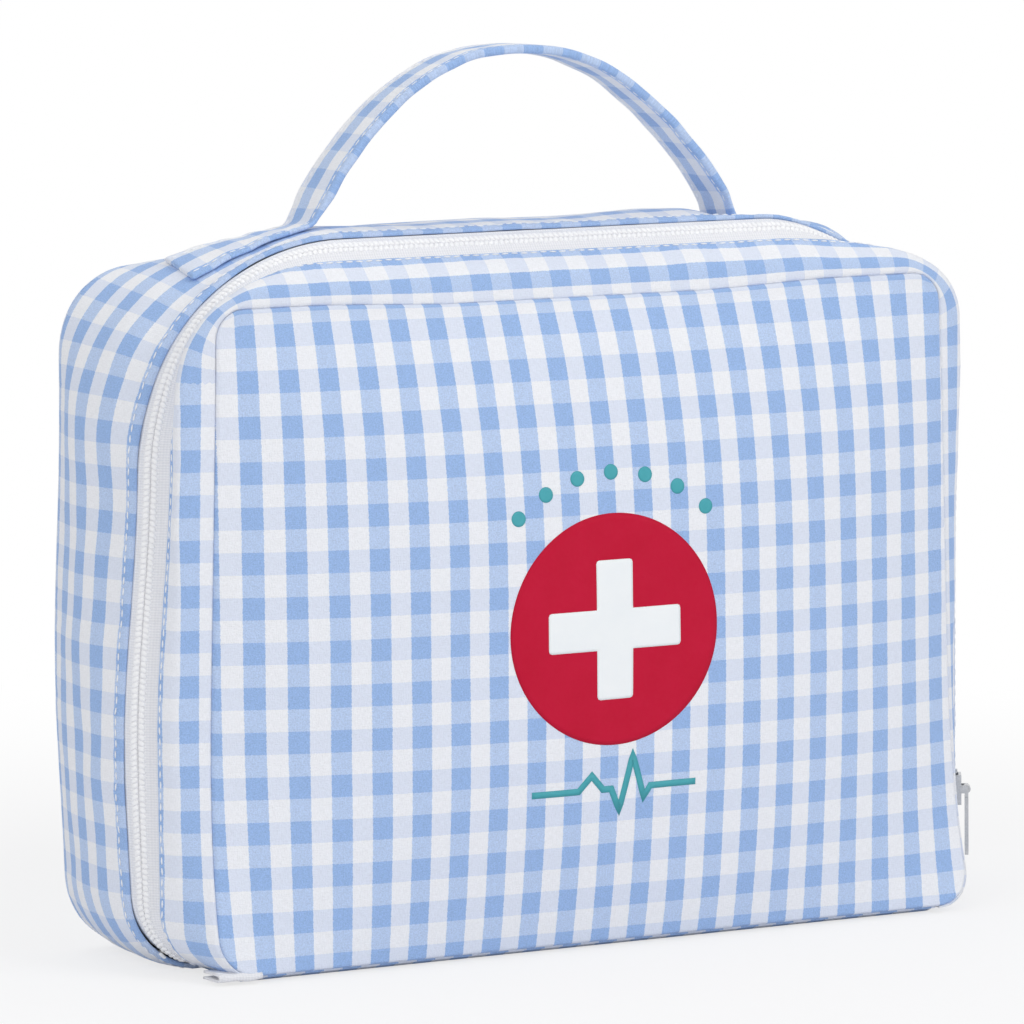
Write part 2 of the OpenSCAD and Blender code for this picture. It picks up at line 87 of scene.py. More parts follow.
def mix(a, b, share):
    return a * (1 - share) + b * share


def smooth_step(low, high, x):
    """Rises from 0 at low to 1 at high, also where low is the larger of the two."""
    t = min(max((x - low) / (high - low), 0.0), 1.0)
    return t * t * (3 - 2 * t)


def ripple(x, y, seed):
    """Smooth noise from -1 to 1."""
    return noise.noise(Vector((x, y, seed)))


def running_lengths(points):
    """Length along a line of points up to each of them."""
    lengths = [0.0]
    for a, b in zip(points, points[1:]):
        lengths.append(lengths[-1] + (b - a).length)
    return lengths


class Value:
    """A shader socket that takes part in Python arithmetic."""

    def __init__(self, paint, socket):
        self.paint, self.socket = paint, socket

    def __add__(self, other):
        return self.paint.math("ADD", self, other)

    __radd__ = __add__

    def __sub__(self, other):
        return self.paint.math("SUBTRACT", self, other)

    def __rsub__(self, other):
        return self.paint.math("SUBTRACT", other, self)

    def __mul__(self, other):
        return self.paint.math("MULTIPLY", self, other)

    __rmul__ = __mul__

    def __truediv__(self, other):
        return self.paint.math("DIVIDE", self, other)

    def __lt__(self, other):
        return self.paint.math("LESS_THAN", self, other)

    def __gt__(self, other):
        return self.paint.math("GREATER_THAN", self, other)


class Paint:
    """One material: its nodes, and the Principled shader they feed."""

    def __init__(self, name, roughness=0.8, metallic=0.0, specular=0.5, sheen=0.0):
        self.material = bpy.data.materials.new(name)
        self.material.use_nodes = True
        self.tree = self.material.node_tree
        self.shader = self.tree.nodes["Principled BSDF"]
        constants = {"Roughness": roughness, "Metallic": metallic, "Specular IOR Level": specular,
                     "Sheen Weight": sheen}
        for socket, value in constants.items():
            self.shader.inputs[socket].default_value = value

    def node(self, kind, settings=None, inputs=None, output=0):
        made = self.tree.nodes.new("ShaderNode" + kind)
        for key, value in (settings or {}).items():
            setattr(made, key, value)
        for key, value in (inputs or {}).items():
            self.feed(made.inputs[key], value)
        return Value(self, made.outputs[output])

    def feed(self, socket, value):
        if isinstance(value, Value):
            self.tree.links.new(value.socket, socket)
        else:
            socket.default_value = value

    def math(self, operation, *values):
        return self.node("Math", {"operation": operation}, dict(enumerate(values)))

    def colours(self, share, a, b):
        return self.node("Mix", {"data_type": "RGBA"}, {0: share, 6: a, 7: b}, 2)

    def clouds(self, place, scale, detail=2.0):
        """Noise around 0.5 at a place."""
        return self.node("TexNoise", None, {"Vector": place, "Scale": scale, "Detail": detail})

    def at(self, x, y, z=0.0):
        return self.node("CombineXYZ", None, {0: x, 1: y, 2: z})

    def scaled(self, vector, factor):
        return self.node("VectorMath", {"operation": "SCALE"}, {0: vector, "Scale": factor})

    def weave(self):
        """Places across and along the cloth, in millimetres."""
        place = self.node("UVMap", {"uv_map": "weave"})
        return [self.node("SeparateXYZ", None, {0: place}, axis) for axis in (0, 1)]

    def jag(self, place, reach):
        """A random shift of each thread, half of reach either way."""
        thread = self.math("FLOOR", place * THREADS_PER_MM)
        return (self.node("TexWhiteNoise", {"noise_dimensions": "1D"}, {"W": thread}) - 0.5) * reach

    def set(self, socket, value):
        self.feed(self.shader.inputs[socket], value)

    def relief(self, height, distance, strength=1.0):
        """Fine relief, distance in millimetres."""
        self.set("Normal", self.node("Bump", None, {"Height": height, "Distance": distance * MM,
                                                     "Strength": strength}))


def rgb(red, green, blue):
    """A colour written as 0 to 255 on a screen, as the shader takes it."""
    def linear(c):
        c /= 255
        return c / 12.92 if c <= 0.04045 else ((c + 0.055) / 1.055) ** 2.4
    return (linear(red), linear(green), linear(blue), 1.0)


WHITE = rgb(241, 243, 248)
BAND_BLUE = rgb(224, 231, 246)
STRIPE_BLUE = rgb(189, 209, 241)
CROSSING_BLUE = rgb(156, 187, 233)
THREADS_PER_MM = 3.5
# Spacing of the zip tape's ribs and of its rows of knitting
RIB_PITCH, KNIT_PITCH = 0.72, 0.9


def woven(paint, across, along):
    """Height of a plain weave's threads and the uneven colour of its yarn."""
    warp = paint.clouds(paint.at(across * 3.6, along * 0.6), 1.0)
    weft = paint.clouds(paint.at(across * 0.6, along * 3.6, 7.0), 1.0)
    fleck = paint.clouds(paint.at(across, along, 3.0), 2.6, 1.0)
    return warp, weft, fleck


def gingham_paint():
    paint = Paint("gingham_cotton", roughness=0.88, specular=0.25, sheen=0.15)
    across, along = paint.weave()
    warp, weft, fleck = woven(paint, across, along)
    x = across + paint.jag(along, 0.16)
    y = along + paint.jag(across, 0.14)
    stripe = paint.math("FRACT", x / (2 * CHECK_W)) < 0.5
    band = paint.math("FRACT", y / (2 * CHECK_L)) < 0.5
    pale = paint.colours(band, WHITE, BAND_BLUE)
    blue = paint.colours(band, STRIPE_BLUE, CROSSING_BLUE)
    colour = paint.colours(stripe, pale, blue)
    uneven = 1.0 + (warp - 0.5) * 0.16 + (weft - 0.5) * 0.14 + (fleck - 0.5) * (0.10 + stripe * 0.34)
    paint.set("Base Color", paint.scaled(colour, uneven))
    paint.set("Roughness", 0.82 + (fleck - 0.5) * 0.2)
    paint.relief(warp + weft + fleck, 0.22, 0.55)
    return paint.material


def plain_cloth_paint(name, colour, deep=0.2):
    paint = Paint(name, roughness=0.9, specular=0.2, sheen=0.1)
    across, along = paint.weave()
    warp, weft, fleck = woven(paint, across, along)
    uneven = 1.0 + (warp - 0.5) * 0.12 + (weft - 0.5) * 0.12
    paint.set("Base Color", paint.scaled(colour[:3], uneven))
    paint.set("Roughness", 0.85 + (fleck - 0.5) * 0.2)
    paint.relief(warp + weft, deep, 0.6)
    return paint.material


def tape_paint():
    """Zip tape: ribs across it and rows of knitting along it, in its relief and as painted shade in its
    colour.
    """
    paint = Paint("zip_tape_white", roughness=0.85, specular=0.3, sheen=0.1)
    across, along = paint.weave()
    ribs = paint.math("SINE", along * (2 * math.pi / RIB_PITCH))
    slant = (paint.math("FRACT", along / RIB_PITCH) - 0.5) * 1.5
    rows = paint.math("SINE", across * (2 * math.pi / KNIT_PITCH) + slant)
    fleck = paint.clouds(paint.at(across, along), 1.3)
    # Painted shade: the colour is lighter on the ribs and knitted rows and darker in the hollows between them,
    # with random fleck on top.
    tone = paint.colours(ribs * 0.25 + rows * 0.15 + fleck * 0.6, rgb(232, 233, 238), rgb(251, 251, 253))
    paint.set("Base Color", tone)
    paint.set("Roughness", 0.8 + (fleck - 0.5) * 0.2)
    paint.relief(ribs * 0.5 + rows * 0.4 + fleck, 0.1, 0.5)
    return paint.material


def solid_paint(name, dark, light, scale, roughness, relief=0.05, metallic=0.0, specular=0.5):
    """A finish with cloudy tone, on Object coordinates in millimetres."""
    paint = Paint(name, roughness, metallic, specular)
    place = paint.scaled(paint.node("TexCoord", None, None, 3), 1 / MM)
    tone = paint.clouds(place, scale, 3.0)
    grain = paint.clouds(place, scale * 7, 2.0)
    paint.set("Base Color", paint.colours(tone, dark, light))
    paint.set("Roughness", roughness + (grain - 0.5) * 0.25)
    paint.relief(grain, relief, 0.5)
    return paint.material


GINGHAM = gingham_paint()
LINING = plain_cloth_paint("lining_cotton", rgb(236, 238, 242))
BINDING = plain_cloth_paint("binding_tape", rgb(238, 239, 242), 0.3)
TAPE = tape_paint()
COIL = solid_paint("zip_coil_nylon", rgb(244, 245, 248), rgb(253, 253, 254), 0.6, 0.6, 0.04)
METAL = solid_paint("zip_nickel", rgb(176, 178, 182), rgb(206, 208, 212), 0.9, 0.3, 0.02, 1.0)
THREAD = solid_paint("sewing_thread", rgb(232, 236, 244), rgb(250, 251, 252), 1.2, 0.7, 0.06)
RED_INK = solid_paint("red_ink", rgb(189, 8, 47), rgb(199, 18, 58), 0.12, 0.7, 0.06, specular=0.2)
WHITE_INK = solid_paint("white_ink", rgb(238, 243, 246), rgb(246, 249, 250), 0.15, 0.6, 0.05)
TEAL_INK = solid_paint("teal_ink", rgb(54, 156, 168), rgb(74, 170, 180), 0.3, 0.6, 0.05)
BOARD = solid_paint("grey_board", rgb(168, 156, 132), rgb(188, 176, 150), 0.2, 0.9, 0.1)


def finish_piece(bm, name, material, outward=None):
    """Makes the object, in metres, with its faces away from a middle point where one is given."""
    if outward is not None:
        middle = Vector(outward)
        lean = sum((face.calc_center_median() - middle).dot(face.normal) * face.calc_area()
                   for face in bm.faces)
        if lean < 0:
            bmesh.ops.reverse_faces(bm, faces=bm.faces)
    bmesh.ops.scale(bm, vec=(MM, MM, MM), verts=bm.verts)
    mesh = bpy.data.meshes.new(name)
    bm.to_mesh(mesh)
    bm.free()
    for polygon in mesh.polygons:
        polygon.use_smooth = True
    piece = bpy.data.objects.new(name, mesh)
    bpy.context.scene.collection.objects.link(piece)
    mesh.materials.append(material)
    return piece


def cloth_grid(columns, rows, place, weave):
    """A grid of cloth: place(i, j) is a point and weave(i, j) its place in the weave, both in millimetres."""
    bm = bmesh.new()
    layer = bm.loops.layers.uv.new("weave")
    bmesh.ops.create_grid(bm, x_segments=columns, y_segments=rows, size=0.5)
    spots = {}
    for vert in bm.verts:
        i, j = round((vert.co.x + 0.5) * columns), round((vert.co.y + 0.5) * rows)
        spots[vert] = weave(i, j)
        vert.co = place(i, j)
    for face in bm.faces:
        for loop in face.loops:
            loop[layer].uv = spots[loop.vert]
    bm.normal_update()
    return bm


def cloth_sheet(name, across, along, place, material, outward, weave=None):
    """Cloth with a point for each pair of places across and along it. They are its places in the weave too,
    where no others are given."""
    plain = lambda i, j: (across[i], along[j])
    bm = cloth_grid(len(across) - 1, len(along) - 1, place, weave or plain)
    return finish_piece(bm, name, material, outward)


def thicken(piece, thickness):
    """Gives cloth its thickness, on its inner side."""
    solid = piece.modifiers.new("thickness", "SOLIDIFY")
    solid.thickness = thickness * MM
    solid.offset = -1
    solid.use_even_offset = True


def front_face(x, z):
    """Depth of the front panel's crowned face."""
    s = min(abs(x - FRONT_SHIFT) / PANEL_HALF_W, 1.05)
    t = (z - PANEL_MID) / PANEL_HALF_H
    rise = min(abs(t) ** 3, 1.0)
    fall = SIDE_FALL if t > 0 else BASE_FALL
    return FRONT_Y + SIDE_FALL * s ** 3 * (1 - rise) + fall * rise


def taper(z):
    return 1 + FRONT_TAPER * (PANEL_MID - z) / PANEL_MID


def seam_dip(x, z):
    """How far the middle of the front panel's top seam hangs below its ends."""
    return 1.4 * smooth_step(82, 34, abs(x)) * smooth_step(150, 178, z)


def left_lean(y, z):
    """How far the left side leans in at a depth and height, less its bulge near the floor."""
    to_rear = smooth_step(-19, -11, y)
    past_zip = smooth_step(-11, 16, y)
    lean = mix(mix(5.0, 3.1, to_rear), 0.7, past_zip) * smooth_step(-27, -19, y) * smooth_step(62, 144, z)
    lean *= 1 - mix(1.0, 0.35, to_rear) * smooth_step(148, 178, z)
    middle, spread_z = mix(60, 82, past_zip), mix(42, 50, past_zip)
    bulge = mix(2.2, 2.4, past_zip) * to_rear * math.exp(-((z - middle) / spread_z) ** 2)
    return lean - bulge


def top_sag(x, y):
    """How far the top sags: behind the zip, under the strap's sewn ends, and at the strip's right corner."""
    behind = smooth_step(-11, -3, y)
    left = 3.6 * smooth_step(60, 88, -x) * smooth_step(128, 92, -x) * behind
    right = 5.6 * smooth_step(46, 70, x) * behind * smooth_step(32, 24, y)
    corner = 2.0 * smooth_step(66, 98, x) * (1 - behind)
    return left + right + corner


def settled(x, y, z):
    """A point of the outline moved by the lean of the left side and the sag of the top."""
    if x < 0:
        x += left_lean(y, z) * smooth_step(0, 50, -x)
    return x, z - top_sag(x, y) * smooth_step(150, 185, z)


# Share of the outline that goes round a bottom corner
FOOT_SHARE = 0.05


def side_point(share, half_w, top, radius, base, fuller=0.0):
    """Point of the outline round three sides, from the left foot over the top to the right foot."""
    if share > 0.5:
        x, z = side_point(1 - share, half_w, top, radius, base, fuller)
        return -x, z
    foot = half_w - CORNER_SEAM_X + fuller
    marks = (0.0, FOOT_SHARE, 0.25, 0.367, 0.5)
    part = next(k for k in range(4) if share <= marks[k + 1] + 1e-9)
    t = (share - marks[part]) / (marks[part + 1] - marks[part])
    if part == 0:
        angle = math.radians(270 - 90 * t)
        return -half_w + foot + foot * math.cos(angle), base + foot + foot * math.sin(angle)
    if part == 1:
        return -half_w, mix(base + foot, top - radius, t)
    if part == 2:
        angle = math.radians(180 - 90 * t)
        return -half_w + radius + radius * math.cos(angle), top - radius + radius * math.sin(angle)
    return mix(-half_w + radius, 0.0, t), top


# Radius of the front panel's lower corners
LOW_CORNER = 10.0
# Radius of the strip's upper right corner, as a share of its left one's
RIGHT_CORNER = 0.56


class Row:
    """A line of cloth round the case: an outline at one depth. Inset moves it in, hug draws it to the front
    panel's face and sink moves it to the back."""

    def __init__(self, station, inset=0.0, hug=0.0, sink=0.0):
        self.values = [*station, inset, hug, sink]

    def point(self, share, base, rise=0.0):
        half_w, top, radius, y, inset, hug, sink = self.values
        depth = inset - rise
        half_w = CORNER_SEAM_X + max(half_w - CORNER_SEAM_X - depth, 0.5)
        if share > 0.5:
            radius *= mix(1.0, RIGHT_CORNER, smooth_step(-14, -24, y) * (1 - hug))
        x, z = side_point(share, half_w, top - depth, max(radius - depth, 1.0), base + depth,
                          (LOW_CORNER - 6.0) * hug)
        settled_x, settled_z = settled(x, y, z)
        if share > 0.5:
            settled_x += 1.6 * smooth_step(95, 150, z) * smooth_step(105, 116, x) * smooth_step(-16, -22, y)
        x = mix(settled_x, FRONT_SHIFT + x * taper(z), hug)
        z = mix(settled_z, z - seam_dip(x, z), hug)
        return Vector((x, mix(y, front_face(x, z) + 0.55, hug) + sink, z))


def between_rows(a, b, share):
    values = [mix(p, q, share) for p, q in zip(a.values, b.values)]
    return Row(values[:4], *values[4:])


def smooth_rows(rows, step):
    """Rows through the given ones on a smooth curve, about step apart."""
    made = []
    for k in range(len(rows) - 1):
        p0, p1, p2, p3 = (rows[min(max(k + m, 0), len(rows) - 1)].values for m in (-1, 0, 1, 2))
        length = math.hypot(p2[0] - p1[0], p2[3] - p1[3], p2[4] - p1[4])
        steps = max(2, round(length / step))
        for n in range(steps + (k == len(rows) - 2)):
            t = n / steps
            values = [0.5 * (2 * b + (c - a) * t + (2 * a - 5 * b + 4 * c - d) * t * t
                             + (3 * b - 3 * c + d - a) * t ** 3)
                      for a, b, c, d in zip(p0, p1, p2, p3)]
            made.append(Row(values[:4], *values[4:]))
    return made


ZIP_REAR = (127.0, 195.0, 62.0, -11.0)
ZIP_FRONT = (122.5, 189.0, 52.0, -19.0)
STRIP_MID = (119.0, 185.2, 34.0, -24.0)
FRONT_SEAM = (112.0, 178.0, 8.0, -27.5)
GUSSET_FORE = (129.0, GUSSET_TOP, 57.0, 1.0)
GUSSET_AFT = (129.0, GUSSET_TOP - 1.2, 48.0, 16.0)
STRIP_EDGE = (114.6, 181.6, 26.0, -25.0)
REAR_SEAM = (REAR_HALF_W, REAR_TOP, REAR_R, REAR_SEAM_Y)
ZIP_W = math.hypot(ZIP_REAR[0] - ZIP_FRONT[0], ZIP_REAR[3] - ZIP_FRONT[3])
# Distance from the zip's rear edge to the line between its two halves, and half the gap between their tapes
COIL_LINE, TAPE_GAP = 3.75, 0.04
# Height of the zip's lower ends
ZIP_BASE = 1.2


def zip_row(distance, inset):
    """Row of the zip at a distance from its rear edge."""
    share = distance / ZIP_W
    return Row([mix(a, b, share) for a, b in zip(ZIP_REAR, ZIP_FRONT)], inset)


def folded_edge(edge, inner, back):
    """Rows of a folded edge, from under the cloth round to its face. Back is a row further in."""
    far = between_rows(Row(edge, FOLD_T), Row(back, FOLD_T), 0.4)
    rows = [far]
    for angle in (-90, -45, 0, 45, 90):
        a = math.radians(angle)
        row = between_rows(Row(edge), Row(back), inner * (1 - math.cos(a)))
        row.values[4] = FOLD_T / 2 * (1 - math.sin(a))
        rows.append(row)
    return rows


# Length of cloth round a bottom corner
FOOT_RUN = 28.0


class SideCloth:
    """Cloth through rows round the case. Distances across it start at the row called zero. Its checks follow
    a turn with this middle and radius at both top corners."""

    def __init__(self, rows, base, zero=0, turn=(75.0, 143.0, 52.0), across=None, band_shift=0.0,
                 rise=None):
        self.rows, self.base, self.turn, self.rise, self.band_shift = rows, base, turn, rise, band_shift
        self.across = across or (lambda d, z: d)
        distances = running_lengths([row.point(0.15, 0.0) for row in rows])
        self.distances = [d - distances[zero] for d in distances]

    def along(self, row, share):
        """Length along the cloth from the middle of the top, below zero on the left."""
        mid_x, mid_z, radius = self.turn
        edge = min(share, 1 - share)
        here = row.point(min(max(share, FOOT_SHARE), 1 - FOOT_SHARE), self.base)
        beside = here.x if share > 0.5 else -here.x
        out, up = beside - mid_x, here.z - mid_z
        if out <= 0:
            length = beside
        elif up >= 0:
            length = mid_x + radius * math.atan2(out, up)
        else:
            length = mid_x + radius * math.pi / 2 - up
        length += FOOT_RUN * (1 - min(edge / FOOT_SHARE, 1))
        return length if share > 0.5 else -length

    def lifted(self, row, share, d, proud=0.0):
        lift = self.rise(self.along(row, share), d) if self.rise else 0.0
        return row.point(share, self.base, lift + proud)

    def spot(self, share, d, proud=0.0):
        """The point at a distance across the cloth, proud of its face."""
        j = max(k for k in range(len(self.rows) - 1) if k == 0 or self.distances[k] <= d)
        step = self.distances[j + 1] - self.distances[j]
        row = between_rows(self.rows[j], self.rows[j + 1], (d - self.distances[j]) / step)
        return self.lifted(row, share, d, proud)

    def line(self, d, proud=0.0, first=0.0, last=1.0, columns=320):
        """Points along the cloth and the outward direction there."""
        points, ups = [], []
        for i in range(math.ceil(first * columns), math.floor(last * columns) + 1):
            share = min(max(i / columns, 0.002), 0.998)
            here = self.spot(share, d, proud)
            ahead = self.spot(share + 0.002, d, proud) - self.spot(share - 0.002, d, proud)
            points.append(here)
            ups.append(ahead.cross(self.spot(share, d + 0.4, proud) - here).normalized())
        if ups[len(ups) // 2].z < 0:
            ups = [-up for up in ups]
        return points, ups

    def piece(self, name, columns, material):
        def weave(i, j):
            row, share = self.rows[j], i / columns
            z = row.point(share, self.base).z
            return self.across(self.distances[j], z), self.along(row, share) + self.band_shift

        bm = cloth_grid(columns, len(self.rows) - 1,
                        lambda i, j: self.lifted(self.rows[j], i / columns, self.distances[j]), weave)
        return finish_piece(bm, name, material, (0, 5, 90))


# Columns of the grids round the case: the outer cloth and the zip, and the linings and bindings
SIDE_COLUMNS, INNER_COLUMNS = 264, 160
# How far the stitches stand out of the cloth, and the shares of its run between which it is topstitched
STITCH_PROUD, STITCHED = 0.1, (0.006, 0.994)


def gusset_rise(s, d):
    """Soft waves of the gusset and puckers along its stitching and its rear seam. It lies flat under the
    strap's sewn ends."""
    under_tab = (smooth_step(5, 9, d) * smooth_step(33, 29, d)
                 * smooth_step(56, 62, abs(s)) * smooth_step(120, 112, abs(s)))
    waves = 1.0 * ripple(s / 34, d / 30, 2.0) + 0.5 * ripple(s / 15, d / 14, 5.0)
    hold = smooth_step(1, 12, d) * smooth_step(0, 8, 42 - d)
    at_seams = math.exp(-(d - 3.5) ** 2 / 18) + math.exp(-(d - 42) ** 2 / 22)
    puckers = 0.35 * ripple(s / 3.6, d / 9, 9.0) * at_seams
    return waves * (0.25 + 0.75 * hold) * (1 - 0.9 * under_tab) + puckers * smooth_step(0, 2, d)


def make_gusset():
    edge = folded_edge(ZIP_REAR, 0.05, GUSSET_FORE)
    face = smooth_rows([Row(ZIP_REAR), Row(GUSSET_FORE, -0.6), Row(GUSSET_AFT, -0.6), Row(REAR_SEAM)], 2.2)
    roll = [Row(REAR_SEAM, 0.35, sink=0.7), Row(REAR_SEAM, 1.2, sink=1.1), Row(REAR_SEAM, 2.6, sink=1.2)]
    cloth = SideCloth(edge[:-1] + face[1:] + roll, CASE_BASE, zero=3, band_shift=2.4, rise=gusset_rise,
                      across=lambda d, z: d * CHECK_W / 5.78 + 2.0)
    piece = cloth.piece("gusset", SIDE_COLUMNS, GINGHAM)
    thicken(piece, CLOTH_T)
    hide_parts("rear_gusset", "rear_gusset_wadding")
    make_stitches("gusset_topstitch", *cloth.line(2.6, STITCH_PROUD, *STITCHED), on_case)
    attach(piece, "case")


def strip_rise(s, d):
    """Soft waves of the strip and puckers along its stitching."""
    waves = 0.7 * ripple(s / 30, d / 20, 12.0) + 0.3 * ripple(s / 11, d / 12, 15.0)
    hold = smooth_step(1, 6, d) * smooth_step(0, 4, 14 - d)
    puckers = 0.22 * ripple(s / 3.2, d / 7, 19.0) * math.exp(-(d - 2.6) ** 2 / 10)
    return waves * hold + puckers * smooth_step(0, 2, d)


def join_at_corner(piece):
    """Bakes the place of one of the lid's side pieces, which on the case are joined to it at the bottom
    corners, into its mesh, and gives the piece no body.
    """
    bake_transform(piece)


# Distance across the strip at the front seam
STRIP_W = 18.2


def strip_across(d, z):
    """The strip's stripes: a pale line at the front seam, a blue row, a pale row and a blue fold."""
    return CHECK_W + 1.2 - (STRIP_W - d) * mix(0.9, 0.8, smooth_step(184, 160, z))


def make_strip():
    edge = folded_edge(ZIP_FRONT, 0.1, STRIP_MID)
    face = smooth_rows([Row(ZIP_FRONT), Row(STRIP_MID, -0.3), Row(FRONT_SEAM, -0.5, hug=1.0)], 1.3)
    roll = [Row(FRONT_SEAM, -0.15, hug=1.0, sink=0.3), Row(FRONT_SEAM, 0.3, hug=1.0, sink=0.8),
            Row(FRONT_SEAM, 1.3, hug=1.0, sink=1.5)]
    cloth = SideCloth(edge[:-1] + face[1:] + roll, HINGE_Z, zero=3, turn=(95.0, 160.0, 27.9), band_shift=7.8,
                      rise=strip_rise, across=strip_across)
    piece = cloth.piece("front_strip", SIDE_COLUMNS, GINGHAM)
    thicken(piece, CLOTH_T)
    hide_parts("front_strip", "front_strip_wadding")
    make_stitches("strip_topstitch", *cloth.line(1.9, STITCH_PROUD, *STITCHED), join_at_corner)
    join_at_corner(piece)


def make_side_lining(name, stations, base, replaced):
    rows = smooth_rows([Row(station, inset) for station, inset in stations], 4.0)
    piece = SideCloth(rows, base).piece(name, INNER_COLUMNS, LINING)
    thicken(piece, CLOTH_T)
    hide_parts(replaced)
    return piece


def make_side_linings():
    start = [mix(a, b, 0.15) for a, b in zip(ZIP_REAR, GUSSET_FORE)]
    end = [mix(a, b, 0.72) for a, b in zip(GUSSET_AFT, REAR_SEAM)]
    gusset = [(start, 1.9), (GUSSET_FORE, 3.2), (GUSSET_AFT, 3.2), (end, 3.2)]
    strip = [(ZIP_FRONT, 1.9), (STRIP_MID, 3.3), (STRIP_EDGE, 3.3)]
    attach(make_side_lining("gusset_lining", gusset, CASE_BASE, "rear_gusset_lining"), "case")
    join_at_corner(make_side_lining("strip_lining", strip, HINGE_Z, "front_strip_lining"))


def tape_inset(distance):
    """The tape swells over the two rows of coil."""
    return mix(1.3, 0.8, smooth_step(3.0, 2.0, abs(distance - COIL_LINE)))


def make_zip_tape(name, near, far, replaced, before=(), after=()):
    """Half of the zip's tape, between two distances from the zip's rear edge."""
    distances = [mix(near, far, k / 10) for k in range(11)]
    rows = [zip_row(distance, tape_inset(distance)) for distance in distances]
    piece = SideCloth([*before, *rows, *after], ZIP_BASE).piece(name, SIDE_COLUMNS, TAPE)
    thicken(piece, TAPE_T)
    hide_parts(replaced)
    return piece


def add_part(bm, part):
    """Adds a finished bmesh to another."""
    mesh = bpy.data.meshes.new("part")
    part.to_mesh(mesh)
    part.free()
    bm.from_mesh(mesh)
    bpy.data.meshes.remove(mesh)


def stamp_beads(bm, frames, size, segments=(6, 4)):
    """Small ellipsoids, one at each frame. A frame is a place and its three directions."""
    for start in range(0, len(frames), 24):
        part = bmesh.new()
        for place, ahead, side, up, turn in frames[start:start + 24]:
            rotation = Matrix((ahead, side, up)).transposed().to_4x4() @ Matrix.Rotation(turn, 4, "Z")
            matrix = Matrix.Translation(place) @ rotation @ Matrix.Diagonal((*size, 1))
            bmesh.ops.create_uvsphere(part, u_segments=segments[0], v_segments=segments[1], radius=0.5,
                                      matrix=matrix)
        add_part(bm, part)


def even_spots(points, pitch):
    """(place, direction) every pitch along a line of points."""
    spots, carried = [], pitch / 2
    for a, b in zip(points, points[1:]):
        length = (b - a).length
        while carried <= length:
            spots.append((a.lerp(b, carried / length), (b - a).normalized()))
            carried += pitch
        carried -= length
    return spots


def bead_frames(points, ups, pitch, turn=0.0, wobble=0.0):
    """Frames along a line, with the up direction at each of its points."""
    frames = []
    rng = random.Random(len(points))
    lengths = running_lengths(points)
    k, at = 0, pitch / 2
    while at < lengths[-1]:
        while lengths[k + 1] < at:
            k += 1
        t = (at - lengths[k]) / (lengths[k + 1] - lengths[k])
        ahead = (points[k + 1] - points[k]).normalized()
        up = ups[k].lerp(ups[k + 1], t)
        side = up.cross(ahead).normalized()
        up = ahead.cross(side)
        place = points[k].lerp(points[k + 1], t)
        frames.append((place, ahead, side, up, turn + rng.uniform(-wobble, wobble)))
        at += pitch
    return frames


# Distance between the coil's turns, the size and slant of one, and how far a row's middle lies beside the
# zip's line and below the case's outline
COIL_PITCH, COIL_TURN, COIL_SLANT = 1.5, (2.3, 1.45, 0.8), 28
COIL_BESIDE, COIL_DEPTH = 0.92, 0.8
# Share of the zip at which its rows of coil start
COIL_START = 0.012


def make_coil(name, distance, slant, replaced, last):
    """One row of the zip's coil under its knitted tape: slanted turns, each as wide as the row."""
    cloth = SideCloth([zip_row(beside, COIL_DEPTH) for beside in (distance, distance + 0.8)], ZIP_BASE)
    bm = bmesh.new()
    points, ups = cloth.line(0.0, 0.0, COIL_START, last)
    frames = bead_frames(points, ups, COIL_PITCH, math.radians(90 + slant))
    if slant < 0:
        frames = [(place + ahead * COIL_PITCH / 2, ahead, *rest) for place, ahead, *rest in frames]
    stamp_beads(bm, frames, COIL_TURN, (8, 5))
    piece = finish_piece(bm, name, COIL)
    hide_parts(replaced)
    return piece


def make_stitches(name, points, ups, ride):
    bm = bmesh.new()
    stamp_beads(bm, bead_frames(points, ups, STITCH_PITCH, wobble=0.06), STITCH_SIZE)
    piece = finish_piece(bm, name, THREAD)
    ride(piece)


def on_case(piece):
    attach(piece, "case")


def make_zip():
    """Both halves of the zip's tape and both rows of its coil."""
    rear_far = between_rows(Row(ZIP_REAR, 1.5), Row(GUSSET_FORE, 1.9), 0.5)
    front_far = between_rows(Row(ZIP_FRONT, 1.5), Row(STRIP_MID, 1.8), 0.7)
    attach(make_zip_tape("zip_tape_rear_half", 0.0, COIL_LINE - TAPE_GAP, "zip_tape_rear",
                          before=[rear_far]), "case")
    join_at_corner(make_zip_tape("zip_tape_front_half", COIL_LINE + TAPE_GAP, ZIP_W, "zip_tape_front",
                                 after=[front_far]))
    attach(make_coil("zip_coil_rear_row", COIL_LINE - COIL_BESIDE, COIL_SLANT, "zip_coil_rear", 0.948),
            "case")
    join_at_corner(make_coil("zip_coil_front_row", COIL_LINE + COIL_BESIDE, -COIL_SLANT, "zip_coil_front",
                             0.938))


def spread(half, step, edge_steps, edge_step):
    """Places from -half to half, closer together near both ends."""
    edge = edge_steps * edge_step
    inner = half - edge
    count = round(2 * inner / step)
    places = [-half + k * edge_step for k in range(edge_steps)]
    places += [-inner + 2 * inner * k / count for k in range(count + 1)]
    return places + [half - k * edge_step for k in range(edge_steps - 1, -1, -1)]


def rounded(x, z, half_w, half_h, top_r, low_r):
    """A point of a rectangle moved so that the rectangle's corners are round."""
    radius = top_r if z > 0 else low_r
    dx, dz = abs(x) - half_w + radius, abs(z) - half_h + radius
    if dx <= 0 or dz <= 0:
        return x, z
    pull = max(dx, dz) / math.hypot(dx, dz)
    return (math.copysign(half_w - radius + dx * pull, x), math.copysign(half_h - radius + dz * pull, z))


def edge_roll(distance, radius):
    """How far cloth has turned back at a distance from its seam."""
    if distance >= radius:
        return 0.0
    return radius - math.sqrt(max(radius ** 2 - (radius - distance) ** 2, 0.0))


# Radius of the roll of cloth at the front and back panels' seams
PANEL_ROLL, REAR_ROLL = 1.0, 1.6
# Number and length of the fine steps at a panel's edges, and at a lining's
PANEL_EDGE, LINING_EDGE = (6, 0.35), (2, 0.6)


